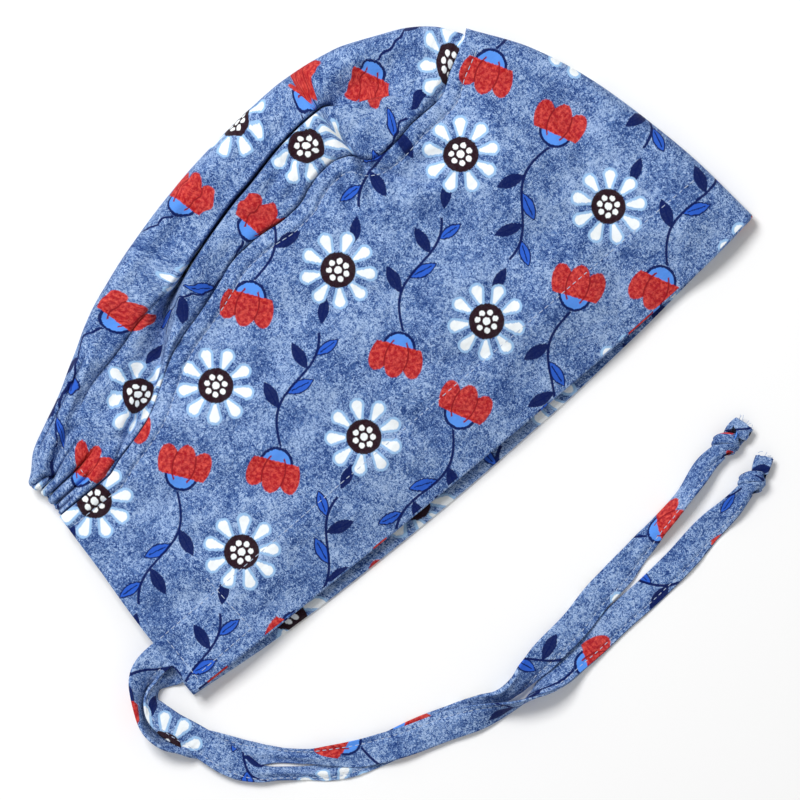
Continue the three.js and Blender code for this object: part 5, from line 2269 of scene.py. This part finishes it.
@dataclass(frozen=True)
class Studio:
    """The floor, the lights and the camera, in the row's frame.

    Attributes:
        aim: what the camera looks at, mm.
        roll: turn of the picture, in degrees.
        width: of the frame at the floor, mm.
        lens: focal length, mm on a 36 mm sensor.
        world: brightness of the white surroundings.
        lit: what the lights face, m.
        floor_half: half the floor's width, m.
    """

    aim: tuple[float, float] = (-7.7, -41.45)
    roll: float = -40.66
    width: float = 320.0
    lens: float = 200.0
    world: float = 0.38
    lit: tuple[float, float, float] = (0.0, -0.03, 0.0)
    floor_half: float = 3.0

    LAMPS = (
        # name, place and size in m, watts
        ("key", (0.02, 0.9, 1.42), 0.62, 25.0),
        ("fill", (-0.9, -0.7, 1.4), 1.4, 2.0),
    )

    def camera(self) -> None:
        """Sets the camera, straight above the cap as in the photograph."""
        data = bpy.data.cameras.new("camera")
        data.lens = self.lens
        data.sensor_width = 36.0
        data.clip_start, data.clip_end = 0.05, 20.0
        camera = linked("camera", data)
        distance = self.width * MM * self.lens / data.sensor_width
        camera.location = (self.aim[0] * MM, self.aim[1] * MM, distance)
        camera.rotation_euler = (0, 0, math.radians(self.roll))
        bpy.context.scene.camera = camera

    def floor(self, material: Material) -> None:
        """Lays the surface under the cap.

        Args:
            material: its finish.
        """
        bm = bmesh.new()
        bmesh.ops.create_grid(bm, x_segments=2, y_segments=2, size=self.floor_half)
        linked("floor", mesh_of("floor", bm, material))

    def light(
        self, name: str, place: tuple[float, float, float], size: float, watts: float
    ) -> None:
        """Hangs a square soft light that faces the cap.

        Args:
            name: the light's name.
            place: where it hangs, m.
            size: length of its side, m.
            watts: its power.
        """
        data = bpy.data.lights.new(name, "AREA")
        data.shape = "SQUARE"
        data.size = size
        data.energy = watts
        light = linked(name, data)
        light.location = place
        facing = (Vector(self.lit) - Vector(place)).to_track_quat("-Z", "Y")
        light.rotation_euler = facing.to_euler()

    def build(self) -> None:
        """Sets the world and the lights."""
        scene = bpy.context.scene
        scene.view_settings.view_transform = "Standard"
        world = bpy.data.worlds.new("studio")
        world.use_nodes = True
        settle(world.node_tree.nodes["Background"], {"Color": WHITE, "Strength": self.world})
        scene.world = world
        for lamp in self.LAMPS:
            self.light(*lamp)


# The whole cap


class CapStitches:
    """The lines of stitches that show on the cap."""

    TOP = 0.45  # from the middle of the cloth to its skin, mm
    HEM = ((3.0, HemLine.HEIGHT), (284.0, HemLine.HEIGHT))
    BACK_EDGE = ((4.6, 2.5), (5.4, 24.0))
    CORNER = ((33.4, 31.5), (33.8, 4.2), (7.0, 4.2))  # round the patch where the ties leave
    SEAM_ENDS = (7.0, 250.0)  # x of the topstitch's ends, mm
    CASING_X = 23.5
    CASING_ENDS = (-0.87, -0.12)  # from the seam to the outline, as the crown counts
    TIE_ENDS = (18.0, 3.0)  # bare length at the hem and at the knot, mm

    def on_band(self, corners: Sequence[tuple[float, float]]) -> Line:
        """A line over the near side of the band.

        Args:
            corners: x and y of the line's corners, mm.

        Returns:
            The line.
        """
        table = np.asarray(corners, float)
        at = lengths(table) / lengths(table)[-1]

        def line(share: Array) -> Array:
            """Points of the line."""
            x, y = (np.interp(share, at, table[:, k]) for k in (0, 1))
            return np.stack([x, y, NEAR.height(x, y) + self.TOP], axis=1)

        return line

    def below_seam(self, share: Array) -> Array:
        """The topstitch under the band's folded edge.

        Args:
            share: from its back end, 0, to its front end, 1.

        Returns:
            x, y and z of each point, mm.
        """
        x = mix(*self.SEAM_ENDS, share)
        slope = (SEAM(x + 1) - SEAM(x - 1)) / 2
        down = HemLine.SEAM_STITCH / np.sqrt(1 + slope**2)
        y = SEAM(x) - down
        x = x + down * slope
        return np.stack([x, y, NEAR.height(x, y) + self.TOP], axis=1)

    def casing(self, crown: Crown) -> Line:
        """The stitches that hold the elastic at the nape.

        Args:
            crown: what they run over.

        Returns:
            Their line.
        """

        def line(share: Array) -> Array:
            """Points of the line."""
            v = mix(*self.CASING_ENDS, share)
            return crown.surface(np.full(share.shape, self.CASING_X), v) + self.TOP * UP

        return line

    def on_tie(self, tie: Tie, face: float) -> Line:
        """The stitches along one face of a tie.

        Args:
            tie: the tie.
            face: 1 for one face and -1 for the other.

        Returns:
            Their line.
        """
        start, end = self.TIE_ENDS

        def line(share: Array) -> Array:
            """Points of the line."""
            across, faces = (np.full(share.shape, value) for value in (tie.stitched, face))
            return tie.surface(mix(start, tie.length - end, share), across, faces)

        return line

    def build(
        self, crown: Crown, ties: Sequence[Tie], material: Material
    ) -> tuple[Object, list[Object]]:
        """Makes all stitches.

        Args:
            crown: the crown.
            ties: both ties.
            material: the thread's finish.

        Returns:
            The cap's stitches, and the stitches of each tie.
        """
        sewing = Stitching("cap_stitches")
        threads = sewing.threads(self.on_band(self.HEM))
        threads += sewing.threads(self.below_seam)
        threads += sewing.threads(self.on_band(self.BACK_EDGE))
        threads += sewing.threads(self.on_band(self.CORNER))
        threads += Stitching("casing", 2.6).threads(self.casing(crown))
        cap = sewing.build(threads, material)
        per_tie = []
        for tie in ties:
            sewing = Stitching(tie.name + "_stitches", 2.7)
            threads = [
                thread
                for face in (1.0, -1.0)
                for thread in sewing.threads(self.on_tie(tie, face))
            ]
            per_tie.append(sewing.build(threads, material))
        return cap, per_tie


def main() -> None:
    """Builds the cap and its studio, and reports each piece."""
    logging.basicConfig(level=logging.INFO, format="%(message)s")
    studio = Studio()
    studio.camera()
    cotton = PrintedCotton().material("printed_cotton")
    thread = SewingThread().material("sewing_thread")

    ties = (
        Tie("tie_near_strip", "tie_near", NEAR_TIE, -0.62, (20.0, 57.0), 41),
        Tie("tie_far_strip", "tie_far", FAR_TIE, 0.62, (75.0, 133.0), 47),
    )
    knots = (
        Knot("knot_near_wrap", "knot_near", ties[0], 1.5, NEAR_TAIL, (310.0, 60.0)),
        Knot("knot_far_wrap", "knot_far", ties[1], -0.6, FAR_TAIL, (420.0, 130.0)),
    )
    strips = [tie.build(cotton) for tie in ties]
    wraps = [knot.build(cotton) for knot in knots]
    frays = [
        Stitching(knot.node + "_frayed_threads", radius=0.11).build(knot.threads(), thread)
        for knot in knots
    ]
    crown, band = Crown(), SideBand()
    shells = [crown.build(cotton), band.build(cotton), BrimHem(band).build(cotton)]
    cap_stitches, tie_stitches = CapStitches().build(crown, ties, thread)
    exits = ((0.0, 19.0, 8.8), (0.0, 11.0, 2.0))
    for tie, strip, wrap, fray, seam, leaves in zip(
        ties, strips, wraps, frays, tie_stitches, exits
    ):
        tuple(place(np.array(leaves)))
        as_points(tie.path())
        log.info("%s is %.0f mm long", tie.name, tie.length)
    for obj in (*shells, *strips, *wraps, *frays, cap_stitches, *tie_stitches):
        log.info("built %s", obj.name)

    studio.floor(PaleFloor().material("pale_floor"))
    studio.build()


if __name__ == "__main__":
    main()
